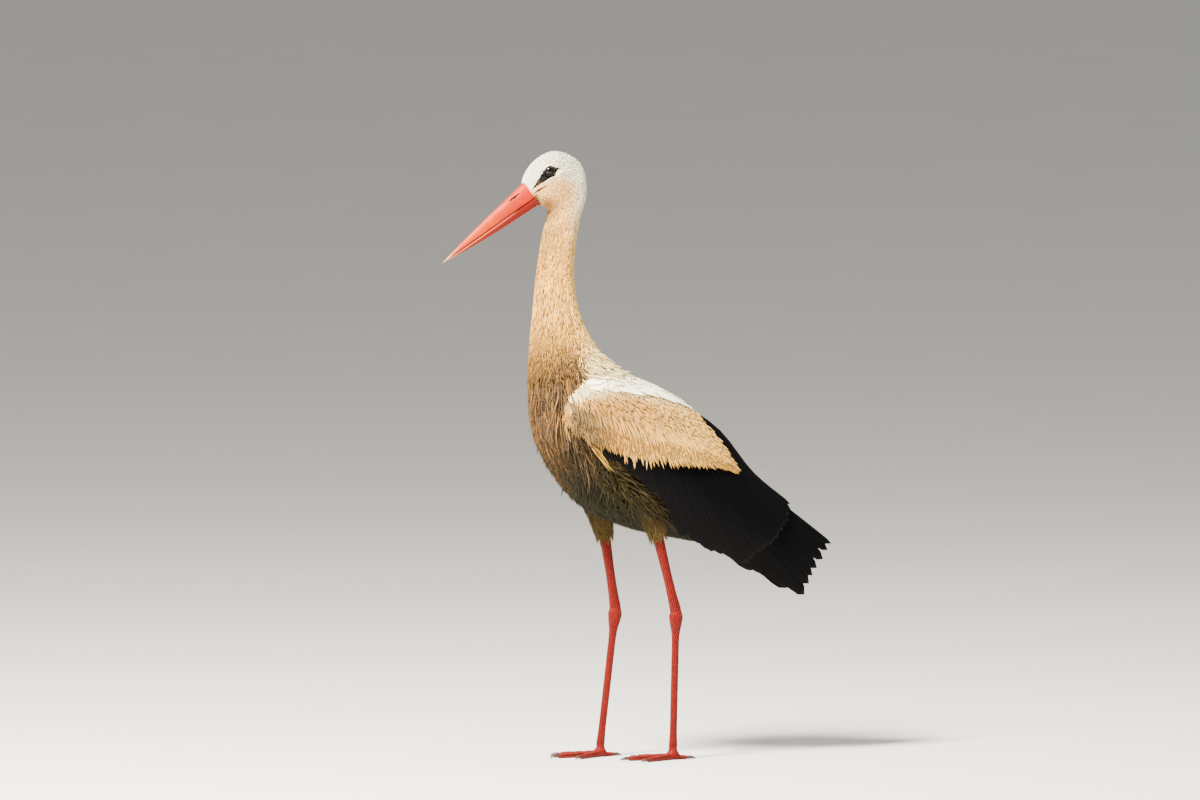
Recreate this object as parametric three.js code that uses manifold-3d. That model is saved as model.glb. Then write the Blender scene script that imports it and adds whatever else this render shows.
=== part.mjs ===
// A white stork that stands still, life size. Millimetres, +Z up.
// The bird faces -Y and its left side is +X. It stands on the floor at z = 0, and the finished group is
// moved so that its origin is the bottom centre of its box.

import * as THREE from 'three';
import { mergeVertices } from 'three/addons/utils/BufferGeometryUtils.js';
import Module from 'manifold-3d';

const wasm = await Module();
wasm.setup();

// ------------------------------------------------------------------ driving dimensions

const GAP = 0.3; // clearance between pieces that touch
const AROUND_BODY = 20; // sides of the head, neck and trunk
const AROUND_LIMB = 10; // sides of a leg
const AROUND_TOE = 8; // sides of a toe
const AROUND_CLAW = 6; // sides of a claw

// Head, neck and trunk, from the face back to the tail: a point on the upper line and one on the lower line
// of the bird's middle plane, each as [y, z], and half the width between them.
const BODY_STATIONS = [
  { at: 'face', upper: [-188, 878], lower: [-187, 874], halfWidth: 1 },
  { at: 'bill root', upper: [-201, 892], lower: [-174, 857], halfWidth: 14 },
  { at: 'brow', upper: [-185, 924], lower: [-165, 856], halfWidth: 21 },
  { at: 'crown', upper: [-146, 942], lower: [-156, 852], halfWidth: 27 },
  { at: 'back of head', upper: [-101, 924], lower: [-152, 847], halfWidth: 28 },
  { at: 'nape', upper: [-90, 878], lower: [-155, 841], halfWidth: 26 },
  { at: 'neck top', upper: [-99, 832], lower: [-162, 820], halfWidth: 25.5 },
  { at: 'neck middle', upper: [-110, 758], lower: [-174, 760], halfWidth: 28 },
  { at: 'neck foot', upper: [-106, 705], lower: [-182, 704], halfWidth: 33 },
  { at: 'ruff', upper: [-86, 664], lower: [-187, 640], halfWidth: 45 },
  { at: 'shoulders', upper: [-57, 630], lower: [-188, 566], halfWidth: 62 },
  { at: 'breast', upper: [-12, 599], lower: [-173, 486], halfWidth: 76 },
  { at: 'keel', upper: [54, 554], lower: [-108, 395], halfWidth: 82 },
  { at: 'belly', upper: [98, 507], lower: [-42, 364], halfWidth: 78 },
  { at: 'flanks', upper: [133, 462], lower: [42, 341], halfWidth: 60 },
  { at: 'rump', upper: [164, 408], lower: [126, 326], halfWidth: 38 },
  { at: 'vent', upper: [188, 366], lower: [176, 324], halfWidth: 20 },
  { at: 'tail root', upper: [200, 346], lower: [199, 340], halfWidth: 1 },
];
const ROWS_PER_STATION = 2;

// Where the body is parted, as a point [y, z] and the forward lean of the cut in degrees.
const HEAD_CUT = { at: [-120, 849], lean: 6 };
const NECK_CUT = { at: [-143, 733], lean: 0 };
const BREAST_CUT = { at: [-122, 598], lean: 26 };

// Bill: its tip, the top and bottom of its root at the feathers, and how far it is let into the head.
const BILL_TIP = [-331.5, 773];
const BILL_ROOT_TOP = [-199, 891];
const BILL_ROOT_BOTTOM = [-173, 859];
const BILL_HALF_WIDTH = 13;
const BILL_INLET = 14;
const BILL_SWELL = 2.2; // how far each edge bows out from a straight line
const GAPE = [-175, 876]; // rear end of the line between the mandibles

const EYE_CENTRE = [17.6, -162, 910.5];
const EYE_RADIUS = 9;

// The folded left wing is a curved sheet from the bend at the breast to the tips: its upper and lower edges as
// [x, y, z], and how far it bows out between them.
const WING_STATIONS = [
  { at: 'bend', upper: [55, -156, 567], lower: [58, -160, 547], bow: 3 },
  { at: 'forearm', upper: [57, -104, 602], lower: [84, -138, 495], bow: 22 },
  { at: 'elbow', upper: [33, -20, 593], lower: [95, -80, 448], bow: 36 },
  { at: 'back', upper: [15, 62, 551], lower: [92, -15, 394], bow: 39 },
  { at: 'loin', upper: [7, 126, 502], lower: [82, 55, 347], bow: 35 },
  { at: 'rump', upper: [5, 188, 444], lower: [68, 130, 316], bow: 25 },
  { at: 'long feathers', upper: [5, 254, 385], lower: [53, 196, 286], bow: 14 },
  { at: 'tips', upper: [7, 322, 327], lower: [40, 264, 244], bow: 5 },
];
const COVERTS = { from: 0, to: 4.85, thick: 6, lift: 0, teeth: 10, toothDepth: 0.05 };
const SECONDARIES = { from: 1.15, to: 5.6, thick: 2.6, lift: -2.5, teeth: 4, toothDepth: 0.2 };
const PRIMARIES = { from: 4.6, to: 6.7, thick: 1.8, lift: -7.8, teeth: 4, toothDepth: 0.3 };
const WING_BED = { from: -0.05, to: 6.5, thick: 12.5, lift: 2 }; // what the trunk leaves free for the wing
const COVERT_CLEARANCE = 4; // room left over and under the coverts where they lie on the black feathers
const WING_HEIGHT = 120; // typical height of the folded wing's sheet, from edge to edge

// Tail: where it leaves the rump and where it ends, as [y, z], with half its width and thickness.
const TAIL_ROOT = { at: [165, 352], halfWidth: 24, halfThick: 13 };
const TAIL_END = { at: [268, 272], halfWidth: 27, halfThick: 1.6 };

// Legs: the left one stands further back than the right one. Centres of the joints as [y, z].
const LEG_X = 48;
const LEGS = {
  left: { side: 1, hip: [-30, 470], feather: [10.6, 337], heel: [39.3, 227], foot: [34, 15], heading: -4 },
  right: { side: -1, hip: [-66, 460], feather: [-36.7, 333], heel: [-19.9, 227], foot: [-46, 15], heading: 3 },
};
const THIGH_RADII = [38, 36, 29, 21, 14.5, 11]; // from the hip to the end of the feathers
const THIGH_FLATNESS = 0.85; // width of the thigh for its depth
const SHANK_RADIUS = 6.4;
const HEEL_RADIUS = 10;
const TARSUS_RADIUS = 5.6;
const FOOT_RADIUS = 8.5;
const FLAT_DEPTH = 0.6; // how deep the flats under the foot are cut
const TOES = [
  { name: 'inner', turn: -31, reach: 60, radius: 5.2 },
  { name: 'middle', turn: 0, reach: 76, radius: 5.4 },
  { name: 'outer', turn: 31, reach: 66, radius: 5.2 },
  { name: 'hind', turn: 180, reach: 26, radius: 4.4 },
];
const CLAW_LENGTH = 11;
const CLAW_RADIUS = 3;

// ------------------------------------------------------------------ solids from moved nets

// Turns a closed geometry into a solid that can be joined and cut.
function toSolid(geometry) {
  geometry.deleteAttribute('normal');
  geometry.deleteAttribute('uv');
  const merged = mergeVertices(geometry);
  return new wasm.Manifold(new wasm.Mesh({
    numProp: 3,
    vertProperties: new Float32Array(merged.attributes.position.array),
    triVerts: new Uint32Array(merged.index.array),
  }));
}

// Turns a solid back into a geometry.
function toGeometry(solid) {
  const mesh = solid.getMesh();
  const geometry = new THREE.BufferGeometry();
  geometry.setAttribute('position', new THREE.BufferAttribute(mesh.vertProperties, 3));
  geometry.setIndex(new THREE.BufferAttribute(mesh.triVerts, 1));
  geometry.computeVertexNormals();
  return geometry;
}

// Moves the net of a sphere onto a form. place(along, angle) gives the point at 0..1 along the form and at an
// angle around it, counterclockwise as seen from the start. Each pole is one point.
function netSolid(rows, around, place) {
  const geometry = new THREE.SphereGeometry(1, around, rows);
  const position = geometry.attributes.position;
  for (let row = 0; row <= rows; row++) {
    for (let column = 0; column <= around; column++) {
      const point = place(row / rows, (2 * Math.PI * (column % around)) / around);
      position.setXYZ(row * (around + 1) + column, point.x, point.y, point.z);
    }
  }
  return toSolid(geometry);
}

// A smooth curve through points that are evenly spaced in its parameter.
function curveThrough(points) {
  return new THREE.CatmullRomCurve3(points.map((point) => new THREE.Vector3(...point)), false, 'centripetal');
}

// A smooth function of 0..1 through evenly spaced values.
function valuesThrough(values) {
  const curve = curveThrough(values.map((value, index) => [value, index, 0]));
  return (along) => curve.getPoint(along).x;
}

const inPlane = ([y, z]) => [0, y, z];
const isPole = (along) => along < 1e-9 || along > 1 - 1e-9;
const easeEnds = (along) => (1 - Math.cos(Math.PI * along)) / 2;
const lerp = THREE.MathUtils.lerp;
const radians = THREE.MathUtils.degToRad;

// A form between an upper and a lower line in the middle plane, with a half width. grow makes it larger.
function railSolid({ upper, lower, halfWidth, rows, around, grow = 0 }) {
  return netSolid(rows, around, (along, angle) => {
    const top = upper(along);
    const bottom = lower(along);
    const centre = top.clone().lerp(bottom, 0.5);
    if (isPole(along)) {
      return centre;
    }
    const reach = top.clone().sub(centre);
    const depth = reach.length();
    centre.addScaledVector(reach, (Math.sin(angle) * (depth + grow)) / depth);
    centre.x += Math.cos(angle) * (halfWidth(along) + grow);
    return centre;
  });
}

// A round or oval limb along a curve. Its ends are round, and its rows lie closer together there.
function limbSolid({ path, across, deep = across, rows, around, grow = 0 }) {
  return netSolid(rows, around, (row, angle) => {
    const along = easeEnds(row);
    const forward = path.getTangent(along).normalize();
    const centre = path.getPoint(along);
    if (isPole(row)) {
      return centre.addScaledVector(forward, row < 0.5 ? -grow : grow);
    }
    const side = new THREE.Vector3(1, 0, 0);
    side.addScaledVector(forward, -side.dot(forward)).normalize();
    const up = side.clone().cross(forward);
    const round = Math.sqrt(Math.sin(Math.PI * row));
    centre.addScaledVector(side, Math.cos(angle) * (across(along) * round + grow));
    centre.addScaledVector(up, Math.sin(angle) * (deep(along) * round + grow));
    return centre;
  });
}

// Half of space behind a plane across the body, its face moved back by half the gap.
function halfSpace({ at: [y, z], lean }, upward) {
  const size = 1200;
  const box = new THREE.BoxGeometry(size, size, size);
  box.translate(0, 0, (size / 2 + GAP / 2) * (upward ? 1 : -1));
  box.rotateX(radians(lean));
  box.translate(0, y, z);
  return toSolid(box);
}

// The mirror image of a left piece, for the right side.
function mirrored(geometry) {
  const copy = geometry.clone();
  copy.scale(-1, 1, 1);
  const order = copy.index.array;
  for (let corner = 0; corner < order.length; corner += 3) {
    [order[corner + 1], order[corner + 2]] = [order[corner + 2], order[corner + 1]];
  }
  copy.computeVertexNormals();
  return copy;
}

// ------------------------------------------------------------------ finishes

const finish = (color, roughness) => () => new THREE.MeshStandardMaterial({ color, roughness, metalness: 0 });
const whiteFeathers = finish(0xf4ecdc, 0.9);
const buffFeathers = finish(0xd9bd95, 0.9);
const blackFeathers = finish(0x17151a, 0.65);
const redHorn = finish(0xd9482f, 0.45);
const redSkin = finish(0xc8331f, 0.6);
const darkClaw = finish(0x4a2c22, 0.5);
const darkEye = finish(0x120d0b, 0.15);

// ------------------------------------------------------------------ head, neck and trunk

function bodySolid() {
  const intervals = BODY_STATIONS.length - 1;
  const upper = curveThrough(BODY_STATIONS.map((station) => inPlane(station.upper)));
  const lower = curveThrough(BODY_STATIONS.map((station) => inPlane(station.lower)));
  return (grow) => railSolid({
    upper: (along) => upper.getPoint(along),
    lower: (along) => lower.getPoint(along),
    halfWidth: valuesThrough(BODY_STATIONS.map((station) => station.halfWidth)),
    rows: intervals * ROWS_PER_STATION,
    around: AROUND_BODY,
    grow,
  });
}

// Bill from its tip back into the head. Both edges bow out a little between tip and root.
function billSolid(grow) {
  const tip = new THREE.Vector3(...inPlane(BILL_TIP));
  const edge = (root, swell) => (along) => {
    const end = new THREE.Vector3(...inPlane(root));
    const point = tip.clone().lerp(end, along);
    point.z += swell * Math.sin(Math.PI * along);
    return point;
  };
  const inward = new THREE.Vector3(0, BILL_ROOT_BOTTOM[0] - BILL_TIP[0], BILL_ROOT_BOTTOM[1] - BILL_TIP[1]);
  inward.setLength(BILL_INLET);
  const visible = 0.9; // the last rows are the inlet, which narrows to a point
  const bent = (edgeAt, centreAt) => (along) => {
    if (along <= visible) {
      return edgeAt(along / visible);
    }
    const depth = (along - visible) / (1 - visible);
    return edgeAt(1).lerp(centreAt(1), depth * 0.6).addScaledVector(inward, depth);
  };
  const topEdge = edge(BILL_ROOT_TOP, BILL_SWELL);
  const bottomEdge = edge(BILL_ROOT_BOTTOM, -BILL_SWELL);
  const middle = (along) => topEdge(along).lerp(bottomEdge(along), 0.5);
  return railSolid({
    upper: bent(topEdge, middle),
    lower: bent(bottomEdge, middle),
    halfWidth: (along) => BILL_HALF_WIDTH * Math.pow(Math.min(along / visible, 1), 0.85),
    rows: 14,
    around: 12,
    grow,
  });
}

function eyeSolid(side, grow) {
  const ball = new THREE.SphereGeometry(EYE_RADIUS + grow, 12, 8);
  ball.translate(side * EYE_CENTRE[0], EYE_CENTRE[1], EYE_CENTRE[2]);
  return toSolid(ball);
}

// Plane along the line between the mandibles.
function mouthCut() {
  const [y, z] = GAPE;
  const rise = Math.atan2(z - BILL_TIP[1], y - BILL_TIP[0]);
  return { at: GAPE, lean: THREE.MathUtils.radToDeg(rise) };
}

// ------------------------------------------------------------------ wings and tail

const wingUpper = curveThrough(WING_STATIONS.map((station) => station.upper));
const wingLower = curveThrough(WING_STATIONS.map((station) => station.lower));
const wingBow = valuesThrough(WING_STATIONS.map((station) => station.bow));
const WING_SPAN = WING_STATIONS.length - 1;

// Point of the folded wing's sheet at a station number and at a height from its lower (0) to its upper edge (1).
function wingSheet(station, height) {
  const along = THREE.MathUtils.clamp(station / WING_SPAN, 0, 1);
  const point = wingLower.getPoint(along).lerp(wingUpper.getPoint(along), height);
  point.x += wingBow(along) * Math.sin(Math.PI * height);
  return point;
}

// Outward normal of the folded wing's sheet.
function wingNormal(station, height) {
  const step = 0.02;
  const back = wingSheet(station + step, height).sub(wingSheet(station - step, height));
  const up = wingSheet(station, height + step).sub(wingSheet(station, height - step));
  return back.cross(up).normalize();
}

// Saw edge of feather tips: 1 at a tip, 0 between two.
const tooth = (value) => 1 - Math.abs(1 - 2 * (value - Math.floor(value)));

// One layer of feathers on the wing's sheet. low and high bound it, drop(row) hangs tips from its lower edge, and
// reach(share) is how far its rear edge goes beyond its last station.
function wingLayer({ group, low, high, drop = () => 0, reach = () => 0, rows, around, grow }) {
  const { from, to, lift, thick } = group;
  const thinEnd = 0.35; // thickness left at the front and rear ends
  return netSolid(rows, around, (row, angle) => {
    const turned = angle > Math.PI ? angle - 2 * Math.PI : angle;
    const folded = Math.abs(turned) > Math.PI / 2 ? Math.sign(turned) * Math.PI - turned : turned;
    const share = isPole(row) ? 0.5 : 0.5 + folded / Math.PI;
    const along = THREE.MathUtils.clamp((row * rows - 1) / (rows - 2), 0, 1);
    const station = lerp(from, to + reach(share) * along, along);
    const hang = share < 0.1 ? drop(Math.round(row * rows)) : 0;
    const margin = grow / WING_HEIGHT;
    const height = lerp(low(station) - margin, high(station) + margin, share) - hang;
    const edge = lerp(thinEnd, 1, THREE.MathUtils.smoothstep(Math.min(along, 1 - along), 0, 0.16));
    const blunt = Math.sign(Math.cos(turned)) * Math.sqrt(Math.abs(Math.cos(turned)));
    const out = isPole(row) || Math.abs(folded) === Math.PI / 2 ? 0 : blunt * (thick * edge + grow);
    return wingSheet(station, height).addScaledVector(wingNormal(station, height), lift + out);
  });
}

// White coverts: their lower edge climbs towards the rear, where it meets the upper edge in a point.
function covertsSolid(grow, clearance = 0) {
  const { to, teeth, toothDepth } = COVERTS;
  const climb = 0.24;
  const climbFrom = 1.2;
  const firstTooth = 5; // row where the feather tips begin to show
  return wingLayer({
    group: { ...COVERTS, thick: COVERTS.thick + clearance },
    low: (station) => Math.max(0, climb * (station - climbFrom)),
    high: (station) => 1 - 0.13 * THREE.MathUtils.smoothstep(station, 3, to),
    drop: (row) => (row >= firstTooth && row % 2 === 1 ? toothDepth : 0),
    rows: 2 * teeth,
    around: 8,
    grow,
  });
}

// Black secondaries and tertials, which show below and behind the coverts.
function secondariesSolid(grow) {
  const { teeth, toothDepth } = SECONDARIES;
  const tertialLead = 0.3; // how much further back the tertials end than the outer secondaries
  return wingLayer({
    group: SECONDARIES,
    low: () => 0,
    high: (station) => lerp(0.7, 1, THREE.MathUtils.smoothstep(station, 2.8, 4)),
    reach: (share) => toothDepth * tooth(share * teeth) + tertialLead * share,
    rows: 10,
    around: 4 * teeth,
    grow,
  });
}

// Black primaries, which slide under the tertials and reach to the tips.
function primariesSolid(grow) {
  const { teeth, toothDepth } = PRIMARIES;
  return wingLayer({
    group: PRIMARIES,
    low: () => 0,
    high: () => 0.97,
    reach: (share) => toothDepth * tooth(share * teeth),
    rows: 8,
    around: 4 * teeth,
    grow,
  });
}

// The hollow in the trunk's side in which the folded wing lies.
function wingBedSolid() {
  return wingLayer({
    group: WING_BED,
    low: () => -0.04,
    high: () => 1.02,
    rows: 10,
    around: 12,
    grow: 0,
  });
}

function tailSolid(grow) {
  const line = (sign) => (along) => {
    const thick = lerp(TAIL_ROOT.halfThick, TAIL_END.halfThick, Math.sqrt(along));
    return new THREE.Vector3(
      0,
      lerp(TAIL_ROOT.at[0], TAIL_END.at[0], along) + sign * thick * 0.6,
      lerp(TAIL_ROOT.at[1], TAIL_END.at[1], along) + sign * thick * 0.8,
    );
  };
  return railSolid({
    upper: line(1),
    lower: line(-1),
    halfWidth: (along) => lerp(TAIL_ROOT.halfWidth, TAIL_END.halfWidth, along) * Math.min(1, 8 * (1.06 - along)),
    rows: 8,
    around: 12,
    grow,
  });
}

// ------------------------------------------------------------------ legs

// A point of a leg on its own side of the body.
const legPoint = (leg, [y, z]) => new THREE.Vector3(leg.side * LEG_X, y, z);

function thighSolid(leg, grow) {
  const bend = [lerp(leg.hip[0], leg.feather[0], 0.5), lerp(leg.hip[1], leg.feather[1], 0.5)];
  const radius = valuesThrough(THIGH_RADII);
  return limbSolid({
    path: new THREE.CatmullRomCurve3([leg.hip, bend, leg.feather].map((point) => legPoint(leg, point))),
    across: (along) => radius(along) * THIGH_FLATNESS,
    deep: radius,
    rows: 9,
    around: 12,
    grow,
  });
}

// Bare shank, let into the feathers above, down to the heel.
function shankSolid(leg, grow) {
  const inlet = 0.14;
  const top = [lerp(leg.feather[0], leg.heel[0], -inlet), lerp(leg.feather[1], leg.heel[1], -inlet)];
  return limbSolid({
    path: new THREE.LineCurve3(legPoint(leg, top), legPoint(leg, leg.heel)),
    across: () => SHANK_RADIUS,
    deep: (along) => SHANK_RADIUS + 1.4 * along * along,
    rows: 5,
    around: AROUND_LIMB,
    grow,
  });
}

// Tarsus with the heel knob at its top.
function tarsusSolid(leg, grow) {
  const knob = (along) => Math.exp(-Math.pow((along - 0.035) / 0.055, 2));
  const spread = (along) => Math.pow(along, 6);
  const direction = [leg.foot[0] - leg.heel[0], leg.foot[1] - leg.heel[1]];
  const top = [leg.heel[0] - direction[0] * 0.05, leg.heel[1] - direction[1] * 0.05];
  return limbSolid({
    path: new THREE.LineCurve3(legPoint(leg, top), legPoint(leg, leg.foot)),
    across: (along) => TARSUS_RADIUS - 0.6 + (HEEL_RADIUS - TARSUS_RADIUS) * knob(along) + spread(along),
    deep: (along) => TARSUS_RADIUS + (HEEL_RADIUS - TARSUS_RADIUS + 0.8) * knob(along) + spread(along),
    rows: 14,
    around: AROUND_LIMB,
    grow,
  });
}

// The ball of the foot, low and a little longer than wide.
function footSolid(leg, grow) {
  const ball = new THREE.SphereGeometry(1, 12, 8);
  ball.scale(FOOT_RADIUS + 0.5 + grow, FOOT_RADIUS + 2 + grow, FOOT_RADIUS + grow);
  ball.translate(leg.side * LEG_X, leg.foot[0], FOOT_RADIUS - FLAT_DEPTH);
  return toSolid(ball);
}

// Direction of a toe on the floor. Positive turns point away from the other foot.
function toeHeading(leg, toe) {
  const turn = radians(leg.side * toe.turn + leg.heading);
  return new THREE.Vector3(Math.sin(turn), -Math.cos(turn), 0);
}

function toeSolid(leg, toe, grow) {
  const heading = toeHeading(leg, toe);
  const start = new THREE.Vector3(leg.side * LEG_X, leg.foot[0], 0);
  const knuckles = 3; // pads along the underside
  const radius = (along) => toe.radius * (1 - 0.3 * along) + 0.35 * Math.cos(2 * Math.PI * knuckles * along);
  const steps = 6;
  const points = [];
  for (let step = 0; step <= steps; step++) {
    const along = step / steps;
    const point = start.clone().addScaledVector(heading, toe.reach * along);
    point.z = toe.radius * (1 - 0.3 * along) - FLAT_DEPTH;
    points.push(point);
  }
  return limbSolid({
    path: new THREE.CatmullRomCurve3(points),
    across: radius,
    rows: 7,
    around: AROUND_TOE,
    grow,
  });
}

function clawSolid(leg, toe) {
  const heading = toeHeading(leg, toe);
  const start = new THREE.Vector3(leg.side * LEG_X, leg.foot[0], toe.radius * 0.7);
  const at = (reach, height) => start.clone().addScaledVector(heading, toe.reach + reach).setZ(height);
  return limbSolid({
    path: new THREE.CatmullRomCurve3([
      at(-4, toe.radius * 0.7),
      at(CLAW_LENGTH * 0.35, toe.radius * 0.75),
      at(CLAW_LENGTH, 1.7),
    ]),
    across: (along) => CLAW_RADIUS * (1 - 0.6 * along),
    rows: 4,
    around: AROUND_CLAW,
  });
}

// ------------------------------------------------------------------ assembly

const stork = new THREE.Group();

function addGeometry(name, geometry, material) {
  const mesh = new THREE.Mesh(geometry, material());
  mesh.name = name;
  stork.add(mesh);
}

const add = (name, solid, material) => addGeometry(name, toGeometry(solid), material);

function addBody(wingCutters) {
  const body = bodySolid();
  const whole = body(0);
  const above = (cut) => halfSpace(cut, true);
  const below = (cut) => halfSpace(cut, false);
  let head = whole.intersect(above(HEAD_CUT)).subtract(billSolid(GAP));
  for (const side of [1, -1]) {
    head = head.subtract(eyeSolid(side, GAP));
    add(side > 0 ? 'eye_left' : 'eye_right', eyeSolid(side, 0), darkEye);
  }
  add('head', head, whiteFeathers);
  add('bill_upper', billSolid(0).intersect(above(mouthCut())), redHorn);
  add('bill_lower', billSolid(0).intersect(below(mouthCut())), redHorn);
  add('neck_upper', whole.intersect(below(HEAD_CUT)).intersect(above(NECK_CUT)), buffFeathers);
  let neckLower = whole.intersect(below(NECK_CUT)).intersect(above(BREAST_CUT));
  let trunk = whole.intersect(below(BREAST_CUT));
  for (const cutter of wingCutters) {
    neckLower = neckLower.subtract(cutter);
    trunk = trunk.subtract(cutter);
  }
  add('neck_lower', neckLower, buffFeathers);
  add('trunk', trunk, buffFeathers);
  add('tail', tailSolid(0).subtract(body(GAP)), whiteFeathers);
}

// Wing pieces are made for the left side and mirrored for the right one. Returns what they cut from the body.
function addWings() {
  const pieces = [
    ['wing', covertsSolid(0), whiteFeathers],
    ['wing_secondaries', secondariesSolid(0).subtract(covertsSolid(GAP, COVERT_CLEARANCE)), blackFeathers],
    ['wing_primaries', primariesSolid(0), blackFeathers],
  ];
  for (const [name, solid, material] of pieces) {
    const geometry = toGeometry(solid);
    addGeometry(`${name}_left`, geometry, material);
    addGeometry(`${name}_right`, mirrored(geometry), material);
  }
  const bed = wingBedSolid().add(covertsSolid(GAP));
  return [bed, toSolid(mirrored(toGeometry(bed)))];
}

function addLeg(name, leg, body, floor) {
  const shank = shankSolid(leg, 0).subtract(tarsusSolid(leg, GAP));
  const thigh = thighSolid(leg, 0).subtract(body).subtract(shankSolid(leg, GAP));
  add(`thigh_${name}`, thigh, buffFeathers);
  add(`shank_${name}`, shank, redSkin);
  add(`tarsus_${name}`, tarsusSolid(leg, 0).subtract(footSolid(leg, GAP)), redSkin);
  add(`foot_${name}`, footSolid(leg, 0).subtract(floor), redSkin);
  const middleToe = TOES.find((toe) => toe.name === 'middle');
  for (const toe of TOES) {
    let toePiece = toeSolid(leg, toe, 0).subtract(footSolid(leg, GAP)).subtract(floor);
    if (toe !== middleToe) {
      toePiece = toePiece.subtract(toeSolid(leg, middleToe, GAP));
    }
    add(`toe_${name}_${toe.name}`, toePiece, redSkin);
    add(`claw_${name}_${toe.name}`, clawSolid(leg, toe).subtract(toeSolid(leg, toe, GAP)), darkClaw);
  }
}

function floorSolid() {
  const depth = 40;
  const box = new THREE.BoxGeometry(800, 1200, depth);
  box.translate(0, 0, -depth / 2);
  return toSolid(box);
}

addBody(addWings());
const bodyCutter = bodySolid()(GAP);
for (const [name, leg] of Object.entries(LEGS)) {
  addLeg(name, leg, bodyCutter, floorSolid());
}

// The origin is the bottom centre of the whole bird's box.
const box = new THREE.Box3().setFromObject(stork);
const middle = box.getCenter(new THREE.Vector3());
stork.position.set(-middle.x, -middle.y, -box.min.z);

export default stork;
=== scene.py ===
"""A white stork that stands still, life size: its skin, plumage, bill, eyes, claws and scales.

Metres, +Z up. The bird faces -Y, its left side is +X and it stands on the floor at z = 0. Every feather and
scale is a closed vane that grows on a named surface, with its root in the skin and its tip at the coat's
outline.
"""

import logging
import math
from collections.abc import Callable
from dataclasses import dataclass, field
from enum import Enum
from functools import cache

import bpy
import numpy as np
from mathutils import Matrix, Vector
from mathutils.kdtree import KDTree


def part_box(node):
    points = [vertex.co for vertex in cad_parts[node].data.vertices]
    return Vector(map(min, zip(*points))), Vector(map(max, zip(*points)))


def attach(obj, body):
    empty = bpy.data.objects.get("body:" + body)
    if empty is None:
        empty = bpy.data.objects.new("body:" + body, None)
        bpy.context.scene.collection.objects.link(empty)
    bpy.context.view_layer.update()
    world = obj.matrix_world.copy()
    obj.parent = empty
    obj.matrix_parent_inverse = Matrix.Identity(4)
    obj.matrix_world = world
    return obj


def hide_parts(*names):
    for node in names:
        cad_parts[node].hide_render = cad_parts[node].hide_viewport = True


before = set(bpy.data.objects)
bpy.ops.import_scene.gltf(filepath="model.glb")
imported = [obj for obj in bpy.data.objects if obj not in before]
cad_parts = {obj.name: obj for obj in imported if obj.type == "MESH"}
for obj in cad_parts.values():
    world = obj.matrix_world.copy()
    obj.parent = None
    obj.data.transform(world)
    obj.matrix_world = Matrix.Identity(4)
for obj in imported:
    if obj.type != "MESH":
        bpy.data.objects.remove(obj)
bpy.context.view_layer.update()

log = logging.getLogger("stork")
TURN = 2 * math.pi
Pair = tuple[float, float]
Triple = tuple[float, float, float]
Array = np.ndarray
Chance = np.random.Generator
Nodes = bpy.types.NodeTree
Piece = bpy.types.Object
Material = bpy.types.Material
Socket = bpy.types.NodeSocket
ShaderNode = bpy.types.Node

# ------------------------------------------------------------------ named options


class Side(Enum):
    """A side of the bird, with the sign of its x."""

    LEFT = 1
    RIGHT = -1

    @property
    def word(self) -> str:
        """The side's name as the node names spell it."""
        return self.name.lower()


class Slot(Enum):
    """Material slots of the record."""

    WHITE = "white_feathers"
    BUFF = "buff_feathers"
    BLACK = "black_feathers"
    BILL = "bill_horn"
    LEGS = "leg_skin"
    CLAWS = "claw_horn"
    EYE = "eye"


class Tint(Enum):
    """Colours of the bird as display values from 0 to 255."""

    CROWN = (255, 251, 224)
    CHEEK = (242, 176, 66)
    # Painted shade under the head.
    THROAT = (184, 132, 64)
    NECK = (255, 190, 74)
    NECK_DARK = (136, 86, 36)
    NAPE = (252, 208, 112)
    PLUME = (58, 36, 11)
    PLUME_LIGHT = (126, 86, 30)
    SHOULDER = (255, 240, 176)
    COVERT = (200, 142, 50)
    COVERT_PALE = (234, 182, 74)
    SCAPULAR = (255, 250, 216)
    # Flanks and belly: dirty feathers darkened far down with painted shade of the underside, with an olive
    # cast of painted light reflected from grass.
    FLANK = (62, 50, 20)
    BELLY = (32, 30, 10)
    BELLY_DARK = (18, 15, 7)
    THIGH = (96, 76, 32)
    THIGH_DARK = (42, 28, 9)
    TAIL = (244, 236, 208)
    JET = (4, 4, 5)
    LORE = (50, 40, 30)
    EYE_SKIN = (9, 8, 9)
    LEG = (116, 9, 3)
    LEG_DARK = (72, 5, 3)
    SOLE = (120, 50, 36)

    @property
    def linear(self) -> Array:
        """The colour in linear light, as the shaders take it."""
        value = np.array(self.value, float) / 255
        return np.where(value <= 0.04045, value / 12.92, ((value + 0.055) / 1.055) ** 2.4)


# ------------------------------------------------------------------ small mathematics


def ramp(value: Array, low: float, high: float) -> Array:
    """A smooth step from 0 at low to 1 at high.

    Args:
        value: Where to read the step.
        low: The value up to which it is 0.
        high: The value from which it is 1.

    Returns:
        The step's height at each value.
    """
    share = np.clip((np.asarray(value, float) - low) / (high - low), 0, 1)
    return share * share * (3 - 2 * share)


def between(value: Array, low: float, high: float, soft: float) -> Array:
    """1 between two limits, falling to 0 over a soft width outside them."""
    return ramp(value, low - soft, low) * (1 - ramp(value, high, high + soft))


def unit(vectors: Array) -> Array:
    """The vectors at length one."""
    return vectors / np.maximum(np.linalg.norm(vectors, axis=-1, keepdims=True), 1e-12)


def dot(first: Array, second: Array) -> Array:
    """The scalar product of vectors in the last axis."""
    return np.sum(first * second, axis=-1)


def blend(first: Array, second: Array, share: Array) -> Array:
    """Mixes two colours or points.

    Args:
        first: The value at share 0.
        second: The value at share 1.
        share: How much of the second, one number for each row.

    Returns:
        The mixture.
    """
    share = np.asarray(share, float)[..., None]
    return first * (1 - share) + second * share


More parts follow.
